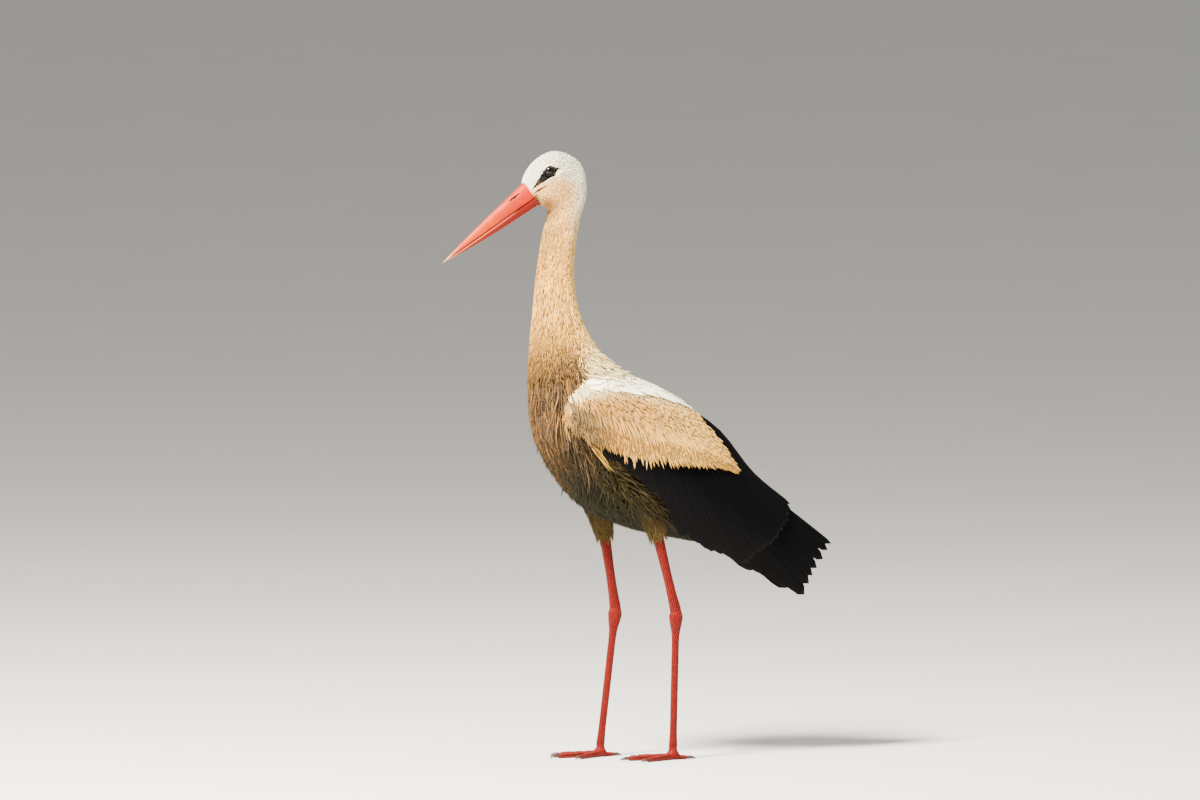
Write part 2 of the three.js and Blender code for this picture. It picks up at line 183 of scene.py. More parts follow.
def curve(points: Array, samples: int) -> Array:
    """A centripetal Catmull-Rom curve through points.

    Args:
        points: The points, evenly spaced in the curve's parameter.
        samples: How many places to read.

    Returns:
        The curve at evenly spaced parameters.
    """
    points = np.asarray(points, float)
    hull = np.vstack([2 * points[0] - points[1], points, 2 * points[-1] - points[-2]])
    place = np.linspace(0, len(points) - 1, samples)
    index = np.minimum(place.astype(int), len(points) - 2)
    share = (place - index)[:, None]
    a, b, c, d = (hull[index + step] for step in range(4))
    lengths = (np.linalg.norm(q - p, axis=1, keepdims=True) for p, q in ((a, b), (b, c), (c, d)))
    before, here, after = (np.maximum(length, 1e-9) ** 0.5 for length in lengths)
    start = ((b - a) / before - (c - a) / (before + here) + (c - b) / here) * here
    end = ((c - b) / here - (d - b) / (here + after) + (d - c) / after) * here
    square, cube = share**2, share**3
    near = (2 * cube - 3 * square + 1) * b + (cube - 2 * square + share) * start
    return near + (3 * square - 2 * cube) * c + (cube - square) * end


def run_of(line: Array) -> Array:
    """How far along a line each of its points lies, in metres."""
    return np.concatenate([[0], np.cumsum(np.linalg.norm(np.diff(line, axis=0), axis=1))])


def values(numbers: list[float], samples: int) -> Array:
    """A smooth row of numbers through the given ones."""
    steps = np.arange(len(numbers), dtype=float)
    return curve(np.column_stack([numbers, steps * 0.05]), samples)[:, 0]


# ------------------------------------------------------------------ surfaces that feathers grow on


class Surface:
    """A net of points with outward normals, read smoothly between its points.

    u runs along the lie of the coat and v across it or around the form.
    """

    EVEN = np.array([0.7548776662466927, 0.5698402909980532])  # steps that fill a square evenly

    def __init__(
        self, points: Array, u_range: Pair = (0, 1), v_range: Pair = (0, 1), closed: bool = True,
        outward: int = 1,
    ) -> None:
        """Keeps the net and works out its normals.

        Args:
            points: Points in rows of u and columns of v.
            u_range: u of the first and last row.
            v_range: v of the first and last column, or of a whole turn where the net is closed.
            closed: Whether the columns go round the form.
            outward: 1, or -1 to turn the normals round.
        """
        self.points, self.u_range, self.v_range, self.closed = points, u_range, v_range, closed
        along = np.gradient(points, axis=0)
        if closed:
            around = np.roll(points, -1, axis=1) - np.roll(points, 1, axis=1)
        else:
            around = np.gradient(points, axis=1)
        cross = np.cross(along, around)
        cross[0], cross[-1] = cross[1], cross[-2]
        self.normals = outward * unit(cross)

    def places(self, u: Array, v: Array) -> tuple[Array, ...]:
        """Rows, columns and shares for reading the net at u and v.

        Args:
            u: Place along the surface.
            v: Place across or round it.

        Returns:
            Row, column, the column after it, and the shares past row and column.
        """
        rows, columns = self.points.shape[:2]
        x = (np.asarray(u, float) - self.u_range[0]) / (self.u_range[1] - self.u_range[0]) * (rows - 1)
        y = (np.asarray(v, float) - self.v_range[0]) / (self.v_range[1] - self.v_range[0])
        x = np.clip(x, 0, rows - 1.0001)
        if self.closed:
            y = (y % 1) * columns
        else:
            y = np.clip(y * (columns - 1), 0, columns - 1.0001)
        row, column = x.astype(int), y.astype(int)
        last = (column + 1) % columns if self.closed else column + 1
        return row, column % columns, last, x - row, y - column

    def read(self, u: Array, v: Array) -> tuple[Array, Array]:
        """Points and outward normals at u and v.

        Args:
            u: Place along the surface.
            v: Place across or round it.

        Returns:
            Points and unit normals.
        """
        row, column, last, down, right = self.places(u, v)
        found = []
        for net in (self.points, self.normals):
            upper = blend(net[row, column], net[row, last], right)
            lower = blend(net[row + 1, column], net[row + 1, last], right)
            found.append(blend(upper, lower, down))
        return found[0], unit(found[1])

    def toward(self, u: Array, v: Array, direction: Array) -> tuple[Array, Array]:
        """How u and v change for each metre along a direction laid onto the surface.

        Args:
            u: Where to start.
            v: Where to start.
            direction: Directions in space, of any length.

        Returns:
            The changes of u and of v for one metre.
        """
        _, normal = self.read(u, v)
        flat = unit(direction - normal * dot(direction, normal)[..., None])
        step_u = (self.u_range[1] - self.u_range[0]) * 4e-3
        step_v = (self.v_range[1] - self.v_range[0]) * 8e-3
        along = (self.read(u + step_u, v)[0] - self.read(u - step_u, v)[0]) / (2 * step_u)
        around = (self.read(u, v + step_v)[0] - self.read(u, v - step_v)[0]) / (2 * step_v)
        aa, ab, bb = dot(along, along), dot(along, around), dot(around, around)
        fa, fb = dot(flat, along), dot(flat, around)
        area = np.maximum(aa * bb - ab * ab, 1e-14)
        return (bb * fa - ab * fb) / area, (aa * fb - ab * fa) / area

    def lie(self, u: Array, v: Array) -> Array:
        """The direction in which u grows."""
        step = (self.u_range[1] - self.u_range[0]) * 4e-3
        return unit(self.read(u + step, v)[0] - self.read(u - step, v)[0])

    def unwrap(self, u: Array, v: Array) -> Array:
        """u and v from 0 to 1, an unwrap of the surface's own shape.

        Args:
            u: Place along the surface.
            v: Place across or round it.

        Returns:
            Two numbers for each place.
        """
        x = (u - self.u_range[0]) / (self.u_range[1] - self.u_range[0])
        y = (v - self.v_range[0]) / (self.v_range[1] - self.v_range[0])
        return np.column_stack([np.clip(x, 0, 1), y % 1 if self.closed else np.clip(y, 0, 1)])

    def scatter(self, density: Callable[[Array, Array], Array], rng: Chance) -> tuple[Array, Array]:
        """Spreads roots evenly over the surface, as many to a square metre as the density says.

        Args:
            density: Roots to a square metre at u and v.
            rng: Where the small irregularities come from.

        Returns:
            u and v of the roots.
        """
        rows, columns = 400, 160
        u_edges = np.linspace(*self.u_range, rows + 1)
        v_edges = np.linspace(*self.v_range, columns + 1)
        u, v = np.meshgrid((u_edges[1:] + u_edges[:-1]) / 2, (v_edges[1:] + v_edges[:-1]) / 2, indexing="ij")
        half_u, half_v = (u_edges[1] - u_edges[0]) / 2, (v_edges[1] - v_edges[0]) / 2
        along = self.read(u + half_u, v)[0] - self.read(u - half_u, v)[0]
        around = self.read(u, v + half_v)[0] - self.read(u, v - half_v)[0]
        mass = np.linalg.norm(np.cross(along, around), axis=-1) * density(u, v)
        count = int(mass.sum())
        steps = np.arange(count)[:, None] * self.EVEN
        wobble = rng.uniform(-0.45, 0.45, (count, 2)) / math.sqrt(max(count, 1))
        first, second = ((steps + 0.5 + wobble) % 1).T
        row_mass = mass.sum(1)
        total = np.concatenate([[0], np.cumsum(row_mass)]) / row_mass.sum()
        found_u = np.interp(first, total, u_edges)
        row = np.clip(np.searchsorted(total, first, side="right") - 1, 0, rows - 1)
        share = np.cumsum(mass, axis=1) / np.maximum(row_mass, 1e-12)[:, None]
        place = np.searchsorted((share + np.arange(rows)[:, None]).ravel(), second + row) - row * columns
        place = np.clip(place, 0, columns - 1)
        return found_u, v_edges[place] + rng.uniform(0, 1, count) * (v_edges[1] - v_edges[0])


# ------------------------------------------------------------------ vanes: feathers, locks and scales


@dataclass(frozen=True)
class Vane:
    """The shape of one feather or scale, from its root at 0 to its tip at 1.

    Attributes:
        rows: Cross-sections between root and tip.
        across: Points across the upper side, an odd number.
        widest: Where it is widest.
        root_width: Width at the root for its greatest width.
        point: 1 for a pointed tip, 2 and more for a round one.
        thick: Thickness at the shaft, in metres.
        arch: How high it arches between its edges, for half its width.
        ragged: How uneven its edges are.
        rise: How soon it rises from root to tip height: under 1 is sooner.
    """

    rows: int = 4
    across: int = 3
    widest: float = 0.55
    root_width: float = 0.4
    point: float = 1.3
    thick: float = 0.0004
    arch: float = 0.15
    ragged: float = 0.1
    rise: float = 0.8

    def places(self) -> Array:
        """Where along the vane its cross-sections lie, closer together near the tip."""
        even = np.arange(1, self.rows + 1) / (self.rows + 1)
        return 1 - (1 - even) ** 1.25

    def half_width(self, place: Array) -> Array:
        """Half the width for half the greatest width, at places from 0 to 1.

        Args:
            place: Where to read it, from 0 to 1.

        Returns:
            Shares from 0 to 1.
        """
        grow = 1 - (1 - np.minimum(place / self.widest, 1)) ** 2
        past = np.clip((place - self.widest) / (1 - self.widest), 0, 1)
        return (self.root_width + (1 - self.root_width) * grow) * (1 - past**self.point) ** (1 / self.point)


@dataclass
class Growth:
    """Where each vane of one piece grows and how large it is. Every field holds one entry for each vane.

    Attributes:
        surface: What the vanes grow on.
        u: Root place along the surface.
        v: Root place across the surface.
        heading: Direction of the vane in space.
        length: Length in metres.
        width: Greatest width in metres.
        root: Height of the root over the surface, below zero.
        tip: Height of the tip over the surface.
        sway: How far the tip bends sideways, for its length.
        colour: Linear colour of the vane.
        tone: A number from 0 to 1 that varies from vane to vane.
        steps: Changes of u and v for each metre, where the vane doesn't simply follow its heading.
    """

    surface: Surface
    u: Array
    v: Array
    heading: Array
    length: Array
    width: Array
    root: Array
    tip: Array
    sway: Array
    colour: Array
    tone: Array
    steps: Array | None = None


def write(piece: Piece, name: str, numbers: Array) -> None:
    """Keeps one number for each point of a piece."""
    piece.data.attributes.new(name, "FLOAT", "POINT").data.foreach_set("value", numbers.astype(np.float32))


def write_colour(piece: Piece, colour: Array) -> None:
    """Keeps a colour at each point of a piece as its marking.

    Args:
        piece: The piece.
        colour: One linear colour for each point.
    """
    marking = piece.data.attributes.new("marking", "FLOAT_COLOR", "POINT")
    rows = np.column_stack([colour, np.ones(len(colour))])
    marking.data.foreach_set("color", rows.astype(np.float32).ravel())


def put(name: str, data: bpy.types.ID) -> Piece:
    """Puts a new object with its data in the scene.

    Args:
        name: The object's name.
        data: Its data.

    Returns:
        The piece.
    """
    piece = bpy.data.objects.new(name, data)
    bpy.context.scene.collection.objects.link(piece)
    return piece


class VaneMesh:
    """Makes one mesh of many vanes of the same shape."""

    PATCH = 0.003  # side of one vane's place on the unwrap

    def __init__(self, shape: Vane, rng: Chance) -> None:
        """Keeps the shape and works out which points each face joins.

        Args:
            shape: The shape of the vanes.
            rng: Where irregularities come from.
        """
        self.shape = shape
        self.rng = rng
        self.upper = np.linspace(-1, 1, shape.across)
        self.spread = np.concatenate([self.upper, self.upper[-2:0:-1]])
        self.under = np.concatenate([np.zeros(shape.across), np.ones(shape.across - 2)])
        self.ring = len(self.spread)
        self.corners, self.starts, self.corner_uv = self.plan()

    def plan(self) -> tuple[Array, Array, Array]:
        """The faces of one vane: their corners, where each begins and the corners' places in the patch.

        Returns:
            The corners, where each face begins, and the corners' places.
        """
        ring, rows = self.ring, self.shape.rows
        heights = np.concatenate([[0.0], self.shape.places(), [1.0]])
        tip = 1 + rows * ring
        corners, starts, places = [], [], []

        def face(points: list[int], spots: list[Pair]) -> None:
            """Adds one face.

            Args:
                points: Its corners.
                spots: Its corners' places in the patch.
            """
            starts.append(len(corners))
            corners.extend(points)
            places.extend(spots)

        for side in range(ring):
            after = (side + 1) % ring
            left, right = side / ring, (side + 1) / ring
            middle = (left + right) / 2
            face([0, 1 + after, 1 + side], [(middle, 0), (right, heights[1]), (left, heights[1])])
            for row in range(rows - 1):
                here, there = 1 + row * ring, 1 + (row + 1) * ring
                low, high = heights[row + 1], heights[row + 2]
                corner_places = [(left, low), (right, low), (right, high), (left, high)]
                face([here + side, here + after, there + after, there + side], corner_places)
            last = 1 + (rows - 1) * ring
            face([tip, last + side, last + after], [(middle, 1), (left, heights[-2]), (right, heights[-2])])
        return np.array(corners), np.array(starts), np.array(places)

    def points(self, growth: Growth) -> tuple[Array, Array, Array]:
        """Points of every vane, with how far along and how far across each lies.

        Args:
            growth: Where they grow.

        Returns:
            Points by vane, then how far along and across each point of a vane lies.
        """
        shape, surface, count = self.shape, growth.surface, len(growth.u)
        places = np.concatenate([[0.0], shape.places(), [1.0]])
        length = growth.length[:, None]
        if growth.steps is None:
            step_u, step_v = surface.toward(growth.u, growth.v, growth.heading)
        else:
            step_u, step_v = growth.steps.T
        _, normal = surface.read(growth.u, growth.v)
        side = np.cross(unit(growth.heading), normal)
        side_u, side_v = surface.toward(growth.u, growth.v, side)
        bend = growth.sway[:, None] * length * places**2
        u = growth.u[:, None] + step_u[:, None] * length * places + side_u[:, None] * bend
        v = growth.v[:, None] + step_v[:, None] * length * places + side_v[:, None] * bend
        centre, normal = surface.read(u, v)
        forward = unit(np.gradient(centre, axis=1))
        side = unit(np.cross(forward, normal))
        across_u, across_v = surface.toward(u, v, side)
        height = growth.root[:, None] + (growth.tip - growth.root)[:, None] * places**shape.rise
        half = growth.width[:, None] / 2 * shape.half_width(places)
        uneven = 1 + shape.ragged * self.rng.uniform(-1, 0.6, (count, len(places), self.ring))
        reach = half[:, :, None] * self.spread * uneven
        u_wide, v_wide = (a[:, :, None] + b[:, :, None] * reach for a, b in ((u, across_u), (v, across_v)))
        spot, out = surface.read(u_wide, v_wide)
        arch = shape.arch * half[:, :, None] * (1 - self.spread**2)
        rib = shape.thick * (1 - np.abs(self.spread) ** 1.5) * np.where(self.under > 0, -0.5, 0.5)
        points = spot + out * (height[:, :, None] + arch + rib)[..., None]
        root = (centre + normal * height[..., None])[:, :1]
        tip = (centre + normal * height[..., None])[:, -1:]
        middle = points[:, 1:-1].reshape(count, -1, 3)
        along = np.concatenate([[0.0], np.repeat(places[1:-1], self.ring), [1.0]])
        across = np.concatenate([[0.0], np.tile(self.spread, shape.rows), [0.0]])
        return np.concatenate([root, middle, tip], axis=1), along, across

    def build(self, name: str, growth: Growth) -> Piece:
        """Makes the piece.

        Args:
            name: The piece's name.
            growth: Where its vanes grow.

        Returns:
            The new object, with its colours, lie and unwrap as attributes.
        """
        points, along, across = self.points(growth)
        count, per = points.shape[:2]
        mesh = bpy.data.meshes.new(name)
        mesh.vertices.add(count * per)
        mesh.vertices.foreach_set("co", points.astype(np.float32).ravel())
        offsets = np.arange(count)[:, None]
        corners = (self.corners + offsets * per).ravel()
        mesh.loops.add(len(corners))
        mesh.loops.foreach_set("vertex_index", corners.astype(np.int32))
        starts = (self.starts + offsets * len(self.corners)).ravel()
        mesh.polygons.add(len(starts))
        mesh.polygons.foreach_set("loop_start", starts.astype(np.int32))
        mesh.update(calc_edges=True)
        mesh.polygons.foreach_set("use_smooth", np.ones(len(starts), bool))
        patch = growth.surface.unwrap(growth.u, growth.v) * (1 - self.PATCH)
        places = patch[:, None] + self.corner_uv * self.PATCH * 0.96
        mesh.uv_layers.new(name="OFBake").data.foreach_set("uv", places.astype(np.float32).ravel())
        piece = put(name, mesh)
        write(piece, "lay", np.tile(along, count))
        write(piece, "spread", np.tile(across, count))
        write(piece, "tone", np.repeat(growth.tone, per))
        write_colour(piece, np.repeat(growth.colour, per, axis=0))
        return piece


# ------------------------------------------------------------------ the bird's form


@dataclass(frozen=True)
class Station:
    """One cross-section of the head, neck or trunk.

    Attributes:
        upper: y and z of the upper line in the middle plane.
        lower: y and z of the lower line.
        half_width: Half the width.
        coat: Depth of the plumage over the skin.
    """

    upper: Pair
    lower: Pair
    half_width: float
    coat: float


EYE_CENTRE = np.array([0.0172, -0.162, 0.9090])  # before the row's origin was put under the bird


def forward_shift() -> float:
    """How far the row's origin lies from the modelling origin along Y, read from where the left eye is."""
    low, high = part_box("eye_left")
    return (low.y + high.y) / 2 - EYE_CENTRE[1]


SHIFT = np.array([0.0, forward_shift(), 0.0])


@dataclass
class BodyForm:
    """The outline of head, neck and trunk under the feather tips, from the face (0) to the tail root."""

    stations: tuple[Station, ...] = (
        Station((-0.188, 0.878), (-0.187, 0.874), 0.001, 0.0005),
        Station((-0.1975, 0.889), (-0.174, 0.857), 0.013, 0.001),
        Station((-0.1805, 0.9212), (-0.165, 0.856), 0.0207, 0.002),
        Station((-0.144, 0.939), (-0.156, 0.852), 0.026, 0.003),
        Station((-0.103, 0.921), (-0.152, 0.847), 0.027, 0.004),
        Station((-0.092, 0.876), (-0.154, 0.841), 0.025, 0.005),
        Station((-0.104, 0.832), (-0.160, 0.820), 0.0245, 0.005),
        Station((-0.1135, 0.758), (-0.171, 0.760), 0.0265, 0.005),
        Station((-0.108, 0.705), (-0.1768, 0.704), 0.032, 0.007),
        Station((-0.092, 0.660), (-0.1812, 0.640), 0.044, 0.010),
        Station((-0.063, 0.621), (-0.1832, 0.566), 0.061, 0.012),
        Station((-0.017, 0.590), (-0.170, 0.488), 0.075, 0.013),
        Station((0.052, 0.550), (-0.105, 0.398), 0.082, 0.014),
        Station((0.098, 0.507), (-0.042, 0.364), 0.078, 0.014),
        Station((0.133, 0.462), (0.042, 0.341), 0.060, 0.013),
        Station((0.164, 0.408), (0.126, 0.326), 0.038, 0.010),
        Station((0.188, 0.366), (0.176, 0.324), 0.020, 0.006),
        Station((0.200, 0.346), (0.199, 0.340), 0.001, 0.0005),
    )
    rows_to_a_station: int = 30
    around: int = 96

    def lines(self) -> tuple[Array, Array, Array, Array]:
        """Upper line, lower line, half width and coat depth in even rows.

        Returns:
            These four, one row for each cross-section.
        """
        rows = (len(self.stations) - 1) * self.rows_to_a_station + 1
        upper = curve([(0, *s.upper) for s in self.stations], rows)
        lower = curve([(0, *s.lower) for s in self.stations], rows)
        width = values([s.half_width for s in self.stations], rows)
        return upper, lower, np.maximum(width, 1e-4), values([s.coat for s in self.stations], rows)

    def surface(self, share_of_coat: float = 0.0) -> Surface:
        """The form's surface.

        Args:
            share_of_coat: How deep under the outline: 0 at the feather tips and 1 at the skin.

        Returns:
            The surface, with the station number as u and turns from the left side up over the back as v.
        """
        upper, lower, width, coat = self.lines()
        turn = np.arange(self.around) / self.around * TURN
        centre = (upper + lower) / 2
        reach = (upper - lower) / 2
        depth = np.linalg.norm(reach, axis=1, keepdims=True)
        inward = share_of_coat * coat[:, None]
        up = unit(reach) * np.maximum(depth - inward, depth * 0.2)
        out = np.maximum(width[:, None] - inward, width[:, None] * 0.2)
        points = centre[:, None] + up[:, None] * np.sin(turn)[:, None]
        points[..., 0] += out * np.cos(turn)
        return Surface(points + SHIFT, (0, len(self.stations) - 1))


@dataclass(frozen=True)
class WingStation:
    """One cross-section of the folded left wing's sheet: its upper and lower edge and how far it bows out."""

    upper: Triple
    lower: Triple
    bow: float


@dataclass
class WingForm:
    """The folded wing as a curved sheet. u is the station from the bend to the tips, v the height on it."""

    stations: tuple[WingStation, ...] = (
        WingStation((0.052, -0.149, 0.567), (0.054, -0.153, 0.547), 0.003),
        WingStation((0.056, -0.104, 0.595), (0.080, -0.136, 0.495), 0.017),
        WingStation((0.033, -0.022, 0.586), (0.090, -0.078, 0.448), 0.032),
        WingStation((0.016, 0.062, 0.551), (0.089, -0.014, 0.394), 0.037),
        WingStation((0.009, 0.130, 0.508), (0.082, 0.055, 0.347), 0.033),
        WingStation((0.007, 0.189, 0.437), (0.068, 0.130, 0.316), 0.024),
        WingStation((0.007, 0.255, 0.385), (0.053, 0.196, 0.285), 0.014),
        WingStation((0.007, 0.330, 0.328), (0.040, 0.267, 0.239), 0.005),
    )
    low_stations: tuple[float, ...] = (0.0, 0.8, 1.2, 1.51, 2.10, 2.69, 3.38, 4.14, 4.57, 4.9)
    low_heights: tuple[float, ...] = (0.05, 0.08, 0.11, 0.16, 0.21, 0.35, 0.48, 0.65, 0.75, 0.80)
    rear_stations: tuple[float, ...] = (2.4, 3.16, 3.52, 3.93, 4.29, 4.66, 4.9)
    rear_heights: tuple[float, ...] = (1.08, 0.99, 0.92, 0.87, 0.82, 0.77, 0.74)
    rows: int = 180
    columns: int = 60
    low_margin: float = -0.4
    high_margin: float = 1.3
    fold: float = 0.03  # how gently the sheet turns in over the back, in heights
    ridge: float = 0.15  # how much it climbs there towards the middle

    def covert_low(self, station: Array) -> Array:
        """Height of the coverts' lower edge."""
        return np.interp(station, self.low_stations, self.low_heights)

    def covert_high(self, station: Array) -> Array:
        """Height of the coverts' upper edge, behind which the black feathers show."""
        return np.interp(station, self.rear_stations, self.rear_heights)

    def surface(self, side: Side) -> Surface:
        """The sheet of one wing.

        Args:
            side: The bird's side.

        Returns:
            The surface.
        """
        upper = curve([s.upper for s in self.stations], self.rows)
        lower = curve([s.lower for s in self.stations], self.rows)
        bow = values([s.bow for s in self.stations], self.rows)
        height = np.linspace(self.low_margin, self.high_margin, self.columns)
        over = self.fold * np.logaddexp(0, (height - 1 + self.fold) / self.fold)
        points = lower[:, None] + (upper - lower)[:, None] * (height - over)[:, None]
        points[..., 0] += bow[:, None] * np.sin(math.pi * (height - over))
        inward = np.linalg.norm(upper - lower, axis=1)[:, None] * over
        points[..., 0] -= inward
        points[..., 2] += self.ridge * inward
        points[..., 0] *= side.value
        spans = (0, len(self.stations) - 1)
        return Surface(points + SHIFT, spans, (self.low_margin, self.high_margin), False, side.value)


@dataclass
class LimbForm:
    """A round limb along a line of joints, on one side of the bird.

    Attributes:
        path: Centres of the joints.
        across: Half the width at even steps along it.
        deep: Half the depth at even steps.
    """

    path: list[Array]
    across: list[float]
    deep: list[float]
    rows: int = 120
    around: int = 40

    def surface(self) -> Surface:
        """The limb's surface, with 0 to 1 along it and turns around it from its +X side over its front.

        Returns:
            The surface.
        """
        centre = curve(self.path, self.rows)
        forward = unit(np.gradient(centre, axis=0))
        side = np.tile([1.0, 0.0, 0.0], (self.rows, 1))
        side = unit(side - forward * dot(side, forward)[:, None])
        up = np.cross(side, forward)
        turn = np.arange(self.around)[:, None] / self.around * TURN
        across = values(self.across, self.rows)[:, None, None]
        deep = values(self.deep, self.rows)[:, None, None]
        points = centre[:, None] + side[:, None] * np.cos(turn) * across + up[:, None] * np.sin(turn) * deep
        return Surface(points + SHIFT)


@dataclass(frozen=True)
class Toe:
    """One toe: how far it turns from the way the bird faces, in degrees, its reach and its radius."""

    name: str
    turn: float
    reach: float
    radius: float
    joints: int


TOES = (
    Toe("inner", -31, 0.060, 0.0052, 3),
    Toe("middle", 0, 0.076, 0.0054, 4),
    Toe("outer", 31, 0.066, 0.0052, 4),
    Toe("hind", 180, 0.026, 0.0044, 1),
)


@dataclass
class Leg:
    """One leg with its joints as y and z in its own plane.

    Attributes:
        side: The bird's side.
        hip: Centre of the thigh's upper end.
        feather: Where the thigh's feathers end.
        heel: The heel joint.
        foot: Centre of the ball of the foot.
        heading: Turn of the foot in degrees.
    """

    side: Side
    hip: Pair
    feather: Pair
    heel: Pair
    foot: Pair
    heading: float
    stance: float = 0.048
    thigh_radii: tuple[float, ...] = (0.038, 0.035, 0.027, 0.020, 0.0145, 0.0116, 0.0095, 0.0085)
    thigh_flatness: float = 0.85
    flat: float = 0.0006

    @property
    def x(self) -> float:
        """x of the leg's plane."""
        return self.side.value * self.stance

    def place(self, point: Pair) -> Array:
        """A point of the leg's plane in space."""
        return np.array([self.x, *point])

    def thigh(self, inward: float = 0.0) -> Surface:
        """The thigh's surface, at a depth under its feather tips.

        Args:
            inward: Depth under the feather tips.

        Returns:
            The surface.
        """
        bend = (np.array(self.hip) + self.feather) / 2
        below = np.array(self.feather) * 0.60 + np.array(self.heel) * 0.40
        deep = [max(radius - inward, radius * 0.35) for radius in self.thigh_radii]
        path = [self.place(point) for point in (self.hip, bend, self.feather, below)]
        return LimbForm(path, [radius * self.thigh_flatness for radius in deep], deep).surface()

    def shank(self) -> Surface:
        """The bare shank from inside the feathers to the heel.

        Returns:
            The surface.
        """
        heel = self.place(self.heel)
        start = self.place(self.feather) * 1.25 - heel * 0.25
        across = [0.0080, 0.0076, 0.0068, 0.0063, 0.0065, 0.0076]
        deep = [0.0086, 0.0082, 0.0074, 0.0069, 0.0073, 0.0090]
        return LimbForm([start, (start + heel) / 2, heel], across, deep, rows=80).surface()

    def tarsus(self) -> Surface:
        """The tarsus from the heel's knob to the ball of the foot.

        Returns:
            The surface.
        """
        heel, foot = self.place(self.heel), self.place(self.foot)
        start = heel + (heel - foot) * 0.03
        path = [start + (foot - start) * share for share in np.linspace(0, 1, 4)]
        across = [0.0066, 0.0096, 0.0082, 0.0060, 0.0051, *[0.0049] * 11, 0.0051, 0.0056, 0.0064]
        deep = [0.0070, 0.0104, 0.0090, 0.0066, 0.0057, *[0.0055] * 11, 0.0057, 0.0062, 0.0072]
        return LimbForm(path, across, deep, rows=200).surface()

    def heading_of(self, toe: Toe) -> Array:
        """Direction of a toe on the floor."""
        turn = math.radians(self.side.value * toe.turn + self.heading)
        return np.array([math.sin(turn), -math.cos(turn), 0.0])

    def toe(self, toe: Toe) -> Surface:
        """A toe's surface from the ball of the foot to the claw, with a pad under each joint.

        Args:
            toe: The toe.

        Returns:
            The surface.
        """
        start = np.array([self.x, self.foot[0], 0.0])
        steps = 3 * toe.joints + 2
        shares = np.linspace(0, 0.985, steps)
        radii = [toe.radius * (1 - 0.3 * s) * (1 + 0.07 * math.cos(TURN * toe.joints * s)) for s in shares]
        radii[-1] *= 0.62
        ahead = self.heading_of(toe) * toe.reach
        path = [start + ahead * s + [0, 0, toe.radius * (1 - 0.3 * s) - self.flat] for s in shares]
        return LimbForm(path, radii, radii, rows=80, around=32).surface()

    def claw(self, toe: Toe, length: float = 0.011) -> Surface:
        """A claw's surface from inside the toe to its tip.

        Args:
            toe: The toe.
            length: Length in metres.

        Returns:
            The surface.
        """
        start = np.array([self.x, self.foot[0], 0.0])
        marks = ((-0.004, toe.radius * 0.72), (length * 0.35, toe.radius * 0.76), (length, 0.0016))
        ahead = self.heading_of(toe)
        path = [start + ahead * (toe.reach + reach) + [0, 0, height] for reach, height in marks]
        wide = [0.0018, 0.0031, 0.0029, 0.0024, 0.0017, 0.0009]
        return LimbForm(path, wide, [value * 0.86 for value in wide], rows=40, around=24).surface()


LEGS = (
    Leg(Side.LEFT, (-0.030, 0.470), (0.0106, 0.337), (0.0393, 0.227), (0.034, 0.015), -4),
    Leg(Side.RIGHT, (-0.066, 0.460), (-0.0367, 0.333), (-0.0199, 0.227), (-0.046, 0.015), 3),
)


# ------------------------------------------------------------------ finishes


COLOUR, VECTOR, NUMBER = "NodeSocketColor", "NodeSocketVector", "NodeSocketFloat"


def new_group(name: str, inputs: dict[str, tuple[str, object]]) -> Nodes:
    """Starts a shader node group that gives a colour and a height.

    Args:
        name: The group's name.
        inputs: Name of each input with its socket type and its default.

    Returns:
        The new group, with its input and output nodes in place.
    """
    group = bpy.data.node_groups.new(name, "ShaderNodeTree")
    for title, (kind, default) in inputs.items():
        group.interface.new_socket(title, in_out="INPUT", socket_type=kind).default_value = default
    for title, kind in (("Colour", COLOUR), ("Height", NUMBER)):
        group.interface.new_socket(title, in_out="OUTPUT", socket_type=kind)
    group.nodes.new("NodeGroupInput")
    group.nodes.new("NodeGroupOutput")
    return group


